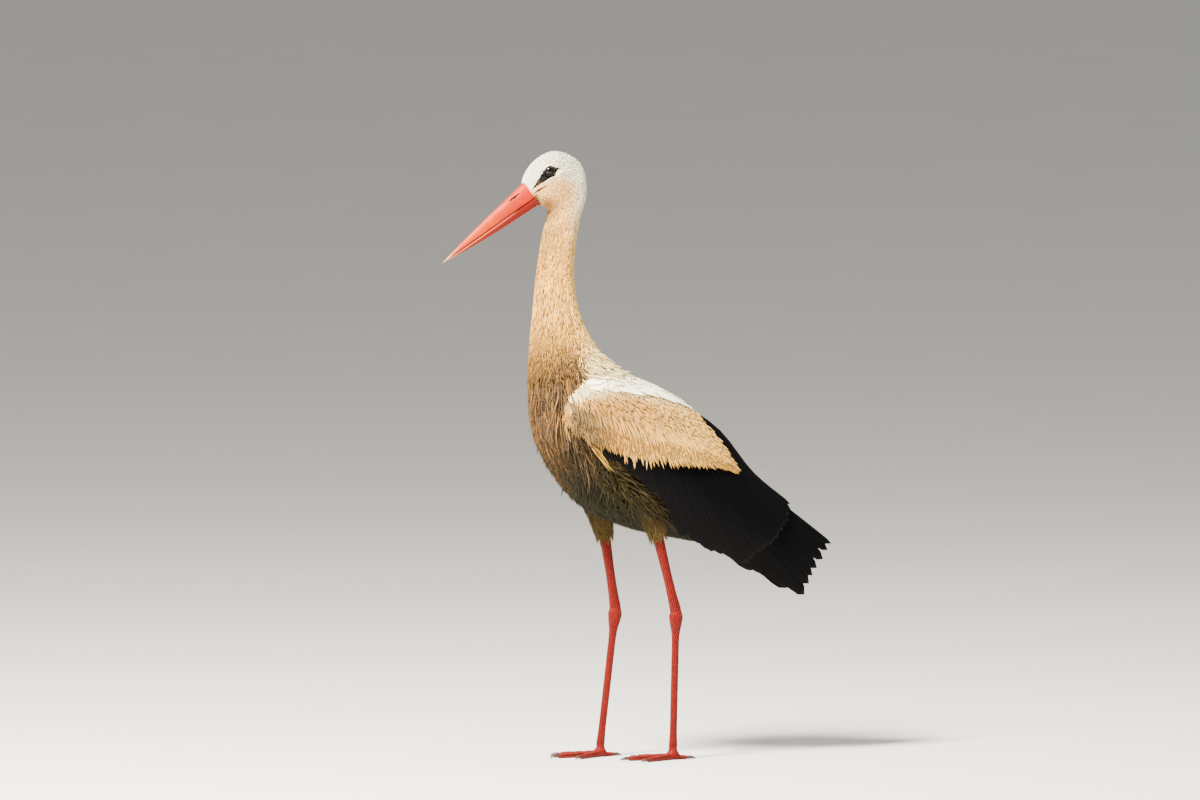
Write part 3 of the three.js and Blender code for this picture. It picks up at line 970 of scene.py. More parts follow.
class Wiring:
    """Adds nodes to a tree in short calls."""

    def __init__(self, tree: Nodes) -> None:
        """Keeps the tree."""
        self.tree = tree

    def node(self, kind: str, **settings: object) -> ShaderNode:
        """Adds a node of a kind with its settings.

        Args:
            kind: The node's kind.
            settings: Its settings.

        Returns:
            The node.
        """
        node = self.tree.nodes.new(kind)
        for name, value in settings.items():
            setattr(node, name, value)
        return node

    def feed(self, socket: Socket, value: object) -> None:
        """Links a socket to another one, or sets its value.

        Args:
            socket: The socket to feed.
            value: A value, or a socket that gives one.
        """
        if isinstance(value, Socket):
            self.tree.links.new(value, socket)
        elif socket.type == "RGBA":
            socket.default_value = (*value[:3], 1)
        else:
            socket.default_value = value

    def math(self, operation: str, *terms: object) -> Socket:
        """A Math node on numbers or sockets.

        Args:
            operation: What it does.
            terms: Values or sockets.

        Returns:
            The result's socket.
        """
        node = self.node("ShaderNodeMath", operation=operation)
        for place, term in enumerate(terms):
            self.feed(node.inputs[place], term)
        return node.outputs[0]

    def times(self, first: object, second: object) -> Socket:
        """A product."""
        return self.math("MULTIPLY", first, second)

    def plus(self, first: object, second: object) -> Socket:
        """A sum."""
        return self.math("ADD", first, second)

    def less(self, first: object, second: object) -> Socket:
        """A difference."""
        return self.math("SUBTRACT", first, second)

    def mix(self, factor: object, first: object, second: object, way: str = "MIX") -> Socket:
        # The flight feathers' edge setting paints a strong highlight along each vane's edges.
        """A colour mixture.

        Args:
            factor: How much of the second.
            first: The first term: a value or a socket.
            second: The second term: a value or a socket.
            way: How they are mixed.

        Returns:
            The result's socket.
        """
        node = self.node("ShaderNodeMix", data_type="RGBA", blend_type=way)
        self.feed(node.inputs["Factor"], factor)
        self.feed(node.inputs[6], first)
        self.feed(node.inputs[7], second)
        return node.outputs[2]

    def step(self, value: object, low: float, high: float, start: float = 0.0, end: float = 1.0) -> Socket:
        """A smooth step between two values.

        Args:
            value: A value, or a socket that gives one.
            low: Where the step begins.
            high: Where it ends.
            start: The value below it.
            end: The value above it.

        Returns:
            The result's socket.
        """
        node = self.node("ShaderNodeMapRange", interpolation_type="SMOOTHSTEP")
        for place, number in enumerate((value, low, high, start, end)):
            self.feed(node.inputs[place], number)
        return node.outputs[0]

    def attribute(self, name: str, output: str = "Fac") -> Socket:
        """A piece's own attribute."""
        return self.node("ShaderNodeAttribute", attribute_name=name).outputs[output]

    def scale(self, colour: object, factor: object) -> Socket:
        """A colour made lighter or darker.

        Args:
            colour: A colour, or a socket that gives one.
            factor: How light: a value or a socket.

        Returns:
            The result's socket.
        """
        node = self.node("ShaderNodeVectorMath", operation="SCALE")
        self.feed(node.inputs[0], colour)
        self.feed(node.inputs["Scale"], factor)
        return node.outputs[0]

    def join(self, first: object, second: object) -> Socket:
        """A vector of two numbers.

        Args:
            first: The first term: a value or a socket.
            second: The second term: a value or a socket.

        Returns:
            The result's socket.
        """
        node = self.node("ShaderNodeCombineXYZ")
        self.feed(node.inputs[0], first)
        self.feed(node.inputs[1], second)
        return node.outputs[0]

    def place(self) -> Socket:
        """Object coordinates."""
        return self.node("ShaderNodeTexCoord").outputs["Object"]

    def noise(self, vector: object, scale: float, detail: float = 3.0, roughness: float = 0.55) -> Socket:
        """Noise around 0.5 at a scale.

        Args:
            vector: Where to read it.
            scale: How fine it is.
            detail: How many layers.
            roughness: How strong the fine layers are.

        Returns:
            The result's socket.
        """
        node = self.node("ShaderNodeTexNoise")
        self.feed(node.inputs["Vector"], vector)
        node.inputs["Scale"].default_value = scale
        node.inputs["Detail"].default_value = detail
        node.inputs["Roughness"].default_value = roughness
        return node.outputs["Fac"]

    def ends(self) -> tuple[bpy.types.NodeOutputs, bpy.types.NodeInputs]:
        """The group's input and output sockets."""
        nodes = self.tree.nodes
        return nodes["Group Input"].outputs, nodes["Group Output"].inputs

    def group(self, group: Nodes, **inputs: object) -> bpy.types.NodeOutputs:
        """Places a group with values for its inputs, spelled with _ for a space.

        Args:
            group: The group.
            inputs: Values or sockets for its inputs.

        Returns:
            The group's outputs.
        """
        node = self.node("ShaderNodeGroup", node_tree=group)
        for name, value in inputs.items():
            self.feed(node.inputs[name.replace("_", " ")], value)
        return node.outputs

    def mottle(self, colour: object, stain: object, scale: float, amount: float) -> bpy.types.NodeOutputs:
        """Places the mottling over a colour."""
        given = {"Colour": colour, "Stain": stain, "Vector": self.place(), "Scale": scale, "Amount": amount}
        return self.group(mottle_group(), **given)

    def bump(self, height: object, distance: float, strength: float = 1.0) -> Socket:
        """A Bump node.

        Args:
            height: The relief.
            distance: Its height in metres.
            strength: How strongly it shows.

        Returns:
            The result's socket.
        """
        node = self.node("ShaderNodeBump")
        node.inputs["Distance"].default_value = distance
        node.inputs["Strength"].default_value = strength
        self.feed(node.inputs["Height"], height)
        return node.outputs["Normal"]


@cache
def mottle_group() -> Nodes:
    """Uneven pigment and soiling, for skin, horn and feathers.

    Returns:
        The group.
    """
    group = new_group("Mottle", {
        "Colour": (COLOUR, (1, 1, 1, 1)),
        "Stain": (COLOUR, (0.5, 0.5, 0.5, 1)),
        "Vector": (VECTOR, (0, 0, 0)),
        "Scale": (NUMBER, 60.0),
        "Amount": (NUMBER, 0.3),
    })
    w = Wiring(group)
    given, made = w.ends()
    coarse = w.node("ShaderNodeTexNoise")
    fine = w.node("ShaderNodeTexNoise")
    for node, times in ((coarse, 1.0), (fine, 4.3)):
        w.feed(node.inputs["Vector"], given["Vector"])
        w.feed(node.inputs["Scale"], w.times(given["Scale"], times))
        node.inputs["Detail"].default_value = 4.0
    both = w.times(coarse.outputs["Fac"], fine.outputs["Fac"])
    spots = w.step(both, 0.18, 0.38, 1.0, 0.0)
    w.feed(made["Colour"], w.mix(w.times(spots, given["Amount"]), given["Colour"], given["Stain"]))
    w.feed(made["Height"], fine.outputs["Fac"])
    return group


@cache
def vane_group() -> Nodes:
    """The detail of a feather: barbs slanting from the shaft, a paler shaft, a shaded root, a worn tip and a
    painted highlight along its edges.

    Returns:
        The group.
    """
    group = new_group("Vane", {
        "Colour": (COLOUR, (1, 1, 1, 1)),
        "Root shade": (NUMBER, 0.5),
        "Tip light": (NUMBER, 0.15),
        "Tone range": (NUMBER, 0.2),
        "Barbs": (NUMBER, 40.0),
        "Barb depth": (NUMBER, 0.12),
        "Shaft": (NUMBER, 0.1),
        # Strength of the painted highlight along the vane's edges.
        "Edge": (NUMBER, 0.0),
    })
    w = Wiring(group)
    given, made = w.ends()
    lay, spread, tone = (w.attribute(name) for name in ("lay", "spread", "tone"))
    off_shaft = w.math("ABSOLUTE", spread)
    slant = w.less(lay, w.times(off_shaft, 0.16))
    wave = w.math("SINE", w.plus(w.times(w.times(slant, given["Barbs"]), TURN), w.times(tone, 9.0)))
    barb = w.times(wave, w.times(w.step(off_shaft, 0.0, 0.25), 0.5))
    shaft = w.step(off_shaft, 0.03, 0.16, 1.0, 0.0)
    shade = w.times(w.step(lay, 0.0, 0.72, 1.0, 0.0), given["Root shade"])
    light = w.times(w.step(lay, 0.7, 1.0), given["Tip light"])
    spread_tone = w.times(w.less(tone, 0.5), given["Tone range"])
    factor = w.plus(1.0, w.plus(spread_tone, w.less(light, shade)))
    factor = w.plus(factor, w.times(barb, given["Barb depth"]))
    factor = w.plus(factor, w.times(shaft, given["Shaft"]))
    # A painted highlight along the vane's edges.
    factor = w.plus(factor, w.times(w.step(off_shaft, 0.86, 1.0), given["Edge"]))
    w.feed(made["Colour"], w.scale(given["Colour"], factor))
    w.feed(made["Height"], w.plus(w.times(barb, 0.5), w.times(shaft, 0.8)))
    return group


@dataclass(frozen=True)
class Finish:
    """What every finish has: a name and its roughness."""

    name: str
    roughness: float

    def start(self) -> tuple[Material, Wiring, ShaderNode]:
        """A new material, its wiring and its shader.

        Returns:
            These three.
        """
        material = bpy.data.materials.new(self.name)
        material.use_nodes = True
        shader = material.node_tree.nodes["Principled BSDF"]
        shader.inputs["Roughness"].default_value = self.roughness
        return material, Wiring(material.node_tree), shader

    @staticmethod
    def gloss(shader: ShaderNode, specular: float, coat: float = 0.0, coat_roughness: float = 0.03) -> None:
        """Sets how strongly the surface reflects, and the clear coat over it.

        Args:
            shader: The material's shader.
            specular: How strongly it reflects.
            coat: Strength of the clear coat.
            coat_roughness: Roughness of the clear coat.
        """
        shader.inputs["Specular IOR Level"].default_value = specular
        shader.inputs["Coat Weight"].default_value = coat
        shader.inputs["Coat Roughness"].default_value = coat_roughness


@dataclass(frozen=True)
class FeatherFinish(Finish):
    """Plumage: soft and matte, each feather shaded at its root and combed by its barbs.

    Attributes:
        root_shade: How much darker the root is.
        tip_light: How much lighter the tip is.
        tone_range: How much feathers differ in tone.
        barbs: Barbs along one feather.
        barb_depth: How much the barbs show.
        shaft: How much the shaft shows.
        sheen: Soft light along the edges.
        soil: How much soiling shows.
        specular: How strongly it reflects.
        edge: How much lighter its edges are: a painted highlight.
        stain: Colour of the soiling.
    """

    root_shade: float = 0.45
    tip_light: float = 0.12
    tone_range: float = 0.22
    barbs: float = 26.0
    barb_depth: float = 0.14
    shaft: float = 0.06
    sheen: float = 0.06
    soil: float = 0.25
    specular: float = 0.12
    edge: float = 0.0
    stain: Triple = (0.30, 0.19, 0.09)

    def build(self) -> Material:
        """Makes the material.

        Returns:
            The material.
        """
        material, w, shader = self.start()
        base = w.mottle(w.attribute("marking", "Color"), self.stain, 38.0, self.soil)
        vane = w.group(
            vane_group(), Colour=base["Colour"], Root_shade=self.root_shade, Tip_light=self.tip_light,
            Edge=self.edge, Tone_range=self.tone_range, Barbs=self.barbs, Barb_depth=self.barb_depth,
            Shaft=self.shaft,
        )
        w.feed(shader.inputs["Base Color"], vane["Colour"])
        w.feed(shader.inputs["Normal"], w.bump(vane["Height"], 0.0004, 0.6))
        self.gloss(shader, self.specular)
        shader.inputs["Sheen Weight"].default_value = self.sheen
        shader.inputs["Sheen Roughness"].default_value = 0.5
        return material


@dataclass(frozen=True)
class SkinFinish(Finish):
    """Skin: creased and pored, with its markings kept on the mesh."""

    pores: float = 900.0

    def build(self) -> Material:
        """Makes the material.

        Returns:
            The material.
        """
        material, w, shader = self.start()
        marking = w.attribute("marking", "Color")
        stain = w.mix(1.0, marking, (0.55, 0.34, 0.30), "MULTIPLY")
        mottle = w.mottle(marking, stain, 120.0, 0.5)
        pores = w.node("ShaderNodeTexVoronoi", feature="DISTANCE_TO_EDGE")
        w.feed(pores.inputs["Vector"], w.place())
        pores.inputs["Scale"].default_value = self.pores
        crease = w.step(pores.outputs["Distance"], 0.0, 0.12)
        deep = w.times(w.less(1.0, crease), 0.45)
        shadow = w.mix(1.0, marking, (0.25, 0.14, 0.12), "MULTIPLY")
        w.feed(shader.inputs["Base Color"], w.mix(deep, mottle["Colour"], shadow))
        height = w.plus(crease, w.times(mottle["Height"], 0.8))
        w.feed(shader.inputs["Normal"], w.bump(height, 0.0003, 0.7))
        w.feed(shader.inputs["Roughness"], w.step(crease, 0.0, 1.0, self.roughness + 0.18, self.roughness))
        self.gloss(shader, 0.15)
        return material


@dataclass(frozen=True)
class ScaleFinish(Finish):
    """Leg scales: waxy plates with dark seams between them."""

    def build(self) -> Material:
        """Makes the material.

        Returns:
            The material.
        """
        material, w, shader = self.start()
        mottle = w.mottle(w.attribute("marking", "Color"), (0.05, 0.004, 0.002), 160.0, 0.45)
        off = w.math("ABSOLUTE", w.attribute("spread"))
        away = w.math("ABSOLUTE", w.less(w.attribute("lay"), 0.5))
        rim = w.math("MAXIMUM", w.step(off, 0.5, 1.0), w.step(away, 0.28, 0.5))
        tone = w.times(w.less(w.attribute("tone"), 0.5), 0.35)
        plate = w.scale(mottle["Colour"], w.plus(1.0, tone))
        w.feed(shader.inputs["Base Color"], w.mix(w.times(rim, 0.55), plate, (0.05, 0.005, 0.003)))
        w.feed(shader.inputs["Normal"], w.bump(mottle["Height"], 0.0002, 0.5))
        self.gloss(shader, 0.16, 0.02, 0.4)
        return material


@dataclass(frozen=True)
class HornFinish(Finish):
    """Horn of the bill: fibres along it, darker red below with painted shade, paler towards the tip, with
    painted shade in the nostril and colour painted along the mouth's edge.

    Attributes:
        base: Colour near the face.
        middle: Colour half way.
        tip: Colour of the tip.
        dark: Colour of streaks and stains.
        rim: Colour painted along the mouth's edge: painted shade on the upper mandible, a painted highlight
            on the lower.
    """

    base: Triple = (0.36, 0.017, 0.002)
    middle: Triple = (0.45, 0.046, 0.003)
    tip: Triple = (0.62, 0.34, 0.10)
    dark: Triple = (0.16, 0.010, 0.004)
    rim: Triple = (0.05, 0.004, 0.003)

    def build(self) -> Material:
        """Makes the material.

        Returns:
            The material.
        """
        material, w, shader = self.start()
        along = w.attribute("lay")
        fibre = w.join(w.times(along, 3.0), w.times(w.attribute("spread"), 26.0))
        streaks = w.noise(fibre, 3.0, 5.0, 0.65)
        colour = w.mix(w.step(along, 0.15, 0.75), self.base, self.middle)
        colour = w.mix(w.step(along, 0.80, 0.985), colour, self.tip)
        colour = w.mix(w.times(w.step(streaks, 0.45, 0.75), 0.38), colour, self.dark)
        stained = w.mottle(colour, self.dark, 90.0, 0.3)
        # Along the mouth: painted shade on the upper mandible, a painted highlight on the lower.
        colour = w.mix(w.attribute("rim"), stained["Colour"], self.rim)
        # Painted shade in the nostril's slit.
        colour = w.mix(w.attribute("hollow"), colour, (0.03, 0.008, 0.006))
        w.feed(shader.inputs["Base Color"], colour)
        smooth, rough = self.roughness - 0.06, self.roughness + 0.14
        w.feed(shader.inputs["Roughness"], w.step(streaks, 0.3, 0.8, smooth, rough))
        height = w.plus(w.times(streaks, 0.8), w.times(stained["Height"], 0.25))
        w.feed(shader.inputs["Normal"], w.bump(height, 0.0004, 0.5))
        self.gloss(shader, 0.12, 0.03, 0.25)
        return material


@dataclass(frozen=True)
class ClawFinish(Finish):
    """Claw horn: dark brown with fine growth lines."""

    def build(self) -> Material:
        """Makes the material.

        Returns:
            The material.
        """
        material, w, shader = self.start()
        along = w.attribute("lay")
        rings = w.math("SINE", w.plus(w.times(along, 90.0), w.times(w.noise(w.place(), 300.0), 6.0)))
        colour = w.mix(w.step(along, 0.2, 1.0), (0.030, 0.014, 0.010), (0.085, 0.050, 0.036))
        stained = w.mottle(colour, (0.02, 0.012, 0.01), 260.0, 0.5)
        w.feed(shader.inputs["Base Color"], stained["Colour"])
        w.feed(shader.inputs["Normal"], w.bump(w.plus(w.times(rings, 0.15), stained["Height"]), 0.0002, 0.5))
        return material


@dataclass(frozen=True)
class EyeFinish(Finish):
    """A wet dark eye: black pupil, dark brown iris with radial fibres, and a wet coat."""

    def build(self) -> Material:
        """Makes the material.

        Returns:
            The material.
        """
        material, w, shader = self.start()
        reach, turn = w.attribute("reach"), w.attribute("turn")
        fibres = w.noise(w.join(w.times(turn, 60.0), w.times(reach, 4.0)), 1.0, 4.0, 0.6)
        iris = w.mix(w.step(fibres, 0.3, 0.75), (0.004, 0.003, 0.003), (0.012, 0.008, 0.006))
        colour = w.mix(w.step(reach, 0.50, 0.56, 1.0, 0.0), iris, (0.0015, 0.0012, 0.0012))
        colour = w.mix(w.step(reach, 0.86, 0.96), colour, (0.012, 0.009, 0.009))
        w.feed(shader.inputs["Base Color"], colour)
        w.feed(shader.inputs["Normal"], w.bump(fibres, 0.0001, 0.2))
        self.gloss(shader, 0.1, 0.30, 0.03)
        return material


# ------------------------------------------------------------------ markings, shared by skin and coat


@dataclass
class BareFace:
    """The bare skin round each eye: a lens from the lore over the eye to a point behind it.

    Attributes:
        eye: y and z of the eye.
        lore: y and z near the corner of the bill.
        rear: y and z of the point behind the eye.
        round_eye: Radius of the bare skin round the eye.
        at_lore: Radius at the lore.
        gape: y and z of the two ends of the dark fold behind the corner of the mouth.
        at_gape: Half its width.
    """

    eye: Pair = (-0.1610, 0.9087)
    lore: Pair = (-0.1850, 0.8850)
    rear: Pair = (-0.1430, 0.9140)
    round_eye: float = 0.0084
    at_lore: float = 0.0012
    gape: tuple[Pair, Pair] = ((-0.1815, 0.8785), (-0.1680, 0.8862))
    at_gape: float = 0.0013

    def capsule(self, flat: Array, far: Pair, far_radius: float, power: float) -> Array:
        """Distance outside a form that narrows from the eye to a far point, in metres.

        Args:
            flat: Points as y and z.
            far: y and z of the far end.
            far_radius: Radius there.
            power: How soon it narrows.

        Returns:
            Metres.
        """
        start, end = np.array(self.eye), np.array(far)
        line = end - start
        share = np.clip((flat - start) @ line / (line @ line), 0, 1)
        radius = self.round_eye + (far_radius - self.round_eye) * share**power
        return np.linalg.norm(flat - start - share[..., None] * line, axis=-1) - radius

    def distance(self, points: Array) -> Array:
        """Distance outside the bare skin, negative inside it.

        Args:
            points: Points in space.

        Returns:
            Metres.
        """
        flat = (points - SHIFT)[..., 1:]
        ahead = self.capsule(flat, self.lore, self.at_lore, 0.95)
        behind = self.capsule(flat, self.rear, 0.0006, 0.8)
        start, line = np.array(self.gape[0]), np.array(self.gape[1]) - self.gape[0]
        share = np.clip((flat - start) @ line / (line @ line), 0, 1)
        mouth = np.linalg.norm(flat - start - share[..., None] * line, axis=-1) - self.at_gape
        near = np.minimum(np.minimum(ahead, behind), mouth)
        return np.where(np.abs(points[..., 0]) > 0.007, near, 0.05)


class Markings:
    """Colours of the bird by place."""

    def __init__(self) -> None:
        """Keeps the face's bare skin."""
        self.face = BareFace()

    def body(self, u: Array, v: Array, tone: Array) -> Array:
        """Linear colours of the head, neck and trunk, with painted shade under the head and on the flanks and
        belly.

        Args:
            u: Station on the body.
            v: Turns round it from the left side up over the back.
            tone: 0 to 1, which spreads the colours from feather to feather.

        Returns:
            One colour for each place.
        """
        up = np.sin(TURN * v)
        colour = np.broadcast_to(Tint.CROWN.linear, (*np.shape(u), 3))
        cheek = between(u, 1.1, 6.0, 0.7) * (1 - ramp(up, -0.25, 0.6))
        colour = blend(colour, Tint.CHEEK.linear, cheek * 0.85)
        # Painted shade along the underside of the head.
        colour = blend(colour, Tint.THROAT.linear, between(u, 1.9, 5.3, 0.7) * ramp(-up, 0.45, 0.92) * 0.85)
        neck = blend(Tint.NECK.linear, Tint.NAPE.linear, ramp(up, 0.1, 0.95))
        neck = blend(neck, Tint.NECK_DARK.linear, ramp(tone, 0.62, 1.0) * (1 - 0.6 * ramp(up, 0.2, 0.9)))
        colour = blend(colour, neck, ramp(u, 4.4, 6.6))
        plume = blend(Tint.PLUME.linear, Tint.PLUME_LIGHT.linear, ramp(tone, 0.45, 1.0))
        colour = blend(colour, plume, ramp(u, 7.6, 9.4) * (1 - ramp(up, 0.0, 0.55)))
        colour = blend(colour, Tint.SHOULDER.linear, ramp(u, 8.5, 9.6) * ramp(up, 0.0, 0.62))
        # Flanks, belly and lower breast: dirt and painted shade, deeper further under the body. The dark
        # patches are dirt and painted shade.
        flank = blend(Tint.FLANK.linear, Tint.BELLY.linear, ramp(-up, 0.2, 0.85))
        flank = blend(flank, Tint.BELLY_DARK.linear, ramp(tone, 0.8, 1.0) * ramp(-up, -0.1, 0.5) * 0.8)
        colour = blend(colour, flank, ramp(u, 10.1, 11.5) * (1 - ramp(up, 0.0, 0.4)))
        colour = blend(colour, Tint.EYE_SKIN.linear, (1 - ramp(u, 1.04, 1.10)) * (1 - ramp(up, -0.2, 0.25)))
        return blend(colour, Tint.TAIL.linear, ramp(u, 14.4, 15.6))

    def wing(self, station: Array, height: Array, tone: Array) -> Array:
        """Linear colours of the wing's white part at a station and height, spread by tone, with painted shade
        at the front of the bend.

        Args:
            station: Station on the wing.
            height: Height on the wing.
            tone: 0 to 1, which varies from vane to vane.

        Returns:
            One linear colour for each place.
        """
        line = np.interp(station, (0.2, 0.94, 1.6, 2.2, 2.6, 3.1), (0.92, 0.86, 0.90, 0.92, 0.97, 1.05))
        edge = 1 - ramp(height - np.maximum(0, 0.24 * (station - 1.2)), 0.02, 0.3)
        pale = ramp(station, 1.6, 3.2) * (0.95 - 0.45 * edge)
        colour = blend(Tint.COVERT.linear, Tint.COVERT_PALE.linear, pale)
        colour = blend(colour, Tint.SHOULDER.linear, ramp(height - line, -0.12, 0.08))
        # Painted shade at the front and lower part of the wing's bend, in the flanks' colour.
        front = (1 - ramp(station, 1.0, 2.0)) * (0.35 + 0.65 * ramp(station, 0.2, 0.6))
        colour = blend(colour, Tint.FLANK.linear, front * (1 - ramp(height, 0.44, 0.86)) * 0.90)
        return blend(colour, Tint.NECK_DARK.linear, ramp(tone, 0.75, 1.0) * 0.22)

    def thigh(self, along: Array, tone: Array) -> Array:
        """Linear colours of the thighs, browner towards the heel."""
        # The top of the thigh takes the flanks' colour, painted shade included.
        colour = blend(Tint.FLANK.linear, Tint.THIGH.linear, ramp(along, 0.1, 0.7))
        return blend(colour, Tint.THIGH_DARK.linear, ramp(tone, 0.62, 1.0) * 0.7)


MARKINGS = Markings()


# ------------------------------------------------------------------ plumage


@dataclass(frozen=True)
class Slope:
    """A size in metres that changes smoothly between two stations: its start, its change and the stations."""

    base: float
    change: float = 0.0
    first: float = 0.0
    last: float = 1.0

    def at(self, u: Array) -> Array:
        """The size at each station."""
        return self.base + self.change * ramp(u, self.first, self.last)


@dataclass
class Coat:
    """One piece of plumage whose vanes are spread over a surface.

    Attributes:
        name: The piece's name.
        slot: The record's slot.
        shape: The shape of its vanes.
        cover: Layers of vanes over each place.
        seed: Where its irregularities come from.
        splay: How far headings stray, in radians.
        unruly: How much lengths differ.
        sway: How far tips bend sideways.
        long: Length of a vane.
        wide: Width of a vane.
        deep: How deep the roots lie under the outline.
        high: How high the tips lie over it.
    """

    name: str
    slot: Slot
    shape: Vane
    cover: float = 5.0
    seed: int = 1
    splay: float = 0.12
    unruly: float = 0.16
    sway: float = 0.06
    long: Slope = Slope(0.03)
    wide: Slope = Slope(0.005)
    deep: Slope = Slope(0.005)
    high: Slope = Slope(0.0005)

    def mask(self, u: Array, v: Array) -> Array:
        """Where the coat grows, from 0 to 1."""
        return np.ones(np.shape(u))

    def length(self, u: Array, v: Array) -> Array:
        """Length of a vane in metres."""
        return self.long.at(u)

    def lift(self, u: Array, v: Array) -> Array:
        """How high the tips lie over the outline."""
        return self.high.at(u)

    def heading(self, surface: Surface, u: Array, v: Array) -> Array:
        """The direction in which the vanes lie."""
        return surface.lie(u, v)

    def colour(self, u: Array, v: Array, tone: Array) -> Array:
        """Linear colours."""
        return MARKINGS.body(u, v, tone)

    def keeps(self, points: Array) -> Array:
        """Which vanes stay, from points of each at its middle and tip."""
        return np.ones(len(points), bool)

    def density(self, u: Array, v: Array) -> Array:
        """Vanes to a square metre."""
        return self.mask(u, v) * self.cover / (self.length(u, v) * self.wide.at(u) * 0.7)

    def growth(self, surface: Surface) -> Growth:
        """Works out where every vane grows.

        Args:
            surface: What they grow on.

        Returns:
            The vanes.
        """
        rng = np.random.default_rng(self.seed)
        u, v = surface.scatter(self.density, rng)
        count = len(u)
        _, normal = surface.read(u, v)
        ahead = unit(self.heading(surface, u, v))
        turn = rng.normal(0, self.splay, count)[:, None]
        heading = ahead * np.cos(turn) + np.cross(normal, ahead) * np.sin(turn)
        length = self.length(u, v) * (1 + self.unruly * rng.uniform(-1, 1, count))
        step_u, step_v = surface.toward(u, v, heading)
        shares = np.array([[0.35], [0.7], [1.0]])
        spots, _ = surface.read(u + step_u * length * shares, v + step_v * length * shares)
        keep = self.keeps(np.swapaxes(spots, 0, 1))
        tone = rng.uniform(0, 1, count)
        grown = Growth(
            surface, u, v, heading, length,
            self.wide.at(u) * rng.uniform(0.8, 1.2, count),
            -self.deep.at(u) * rng.uniform(0.75, 1.0, count),
            self.lift(u, v) * rng.uniform(0.2, 1.8, count),
            rng.normal(0, self.sway, count),
            self.colour(u, v, tone),
            tone,
        )
        return thin(keep, grown)

    def build(self, surface: Surface, material: Material, *nodes: str) -> Piece:
        """Makes the piece, dresses it and lets it stand for CAD nodes.

        Args:
            surface: What it grows on.
            material: The finish.
            nodes: CAD nodes that it stands for.

        Returns:
            The finished piece.
        """
        rng = np.random.default_rng(self.seed + 1000)
        piece = VaneMesh(self.shape, rng).build(self.name, self.growth(surface))
        return settle(piece, material, self.slot, *nodes)


def settle(piece: Piece, material: Material, slot: Slot, *nodes: str) -> Piece:
    """Gives a piece its material and its body.

    Args:
        piece: The finished piece.
        material: Its material.
        slot: The record's slot; not used.
        nodes: CAD nodes that it stands for.

    Returns:
        The same piece.
    """
    piece.data.materials.clear()
    piece.data.materials.append(material)
    if nodes:
        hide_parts(*nodes)
    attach(piece, "root")
    triangles = sum(len(face.vertices) - 2 for face in piece.data.polygons)
    log.info("%s: %d points, %d triangles", piece.name, len(piece.data.vertices), triangles)
    return piece


@dataclass
class HeadCoat(Coat):
    """Short dense feathers over a span of the head, which leave the face's bare skin free."""

    span: Pair = (1.0, 5.7)
    long: Slope = Slope(0.0070, 0.0110, 1.0, 4.6)
    wide: Slope = Slope(0.0011, 0.0007, 1.0, 4.6)
    deep: Slope = Slope(0.0012, 0.0022, 1.0, 4.0)
    high: Slope = Slope(0.0001, 0.0004, 3.0, 5.0)

    def mask(self, u: Array, v: Array) -> Array:
        """Where the coat grows, from 0 to 1."""
        return between(u, *self.span, 0.03)

    def keeps(self, points: Array) -> Array:
        """Which vanes stay, from points of each at its middle and tip."""
        return np.min(MARKINGS.face.distance(points), axis=1) > 0.0002


@dataclass
class NeckCoat(Coat):
    """Fine hair-like feathers down a span of the neck."""

    span: Pair = (5.1, 9.3)
    long: Slope = Slope(0.016, 0.018, 5.0, 8.5)
    wide: Slope = Slope(0.0020, 0.0014, 5.5, 9.0)
    deep: Slope = Slope(0.0045, 0.003, 7.0, 9.0)
    high: Slope = Slope(0.0003, 0.0006, 7.0, 9.0)

    def mask(self, u: Array, v: Array) -> Array:
        """Where the coat grows, from 0 to 1."""
        return between(u, *self.span, 0.02)


@dataclass
class BreastCoat(Coat):
    """Long lance-shaped plumes that hang over the breast, loose at their tips."""

    long: Slope = Slope(0.040, 0.036, 8.3, 9.8)
    wide: Slope = Slope(0.0036)
    deep: Slope = Slope(0.009)

    def mask(self, u: Array, v: Array) -> Array:
        """Where the coat grows, from 0 to 1."""
        up = np.sin(TURN * v)
        return between(u, 8.3, 10.9, 0.4) * (1 - ramp(up, 0.0, 0.35))

    def lift(self, u: Array, v: Array) -> Array:
        """How high the tips lie over the outline: at the sides they lap over the bend of the wing."""
        up = np.sin(TURN * v)
        return 0.0008 + 0.006 * between(up, -0.5, 0.1, 0.15) * ramp(u, 9.2, 10.0)

    def heading(self, surface: Surface, u: Array, v: Array) -> Array:
        """The direction in which the vanes lie: down, and a little along the body."""
        return surface.lie(u, v) * 0.5 + np.array([0.0, 0.0, -1.0])


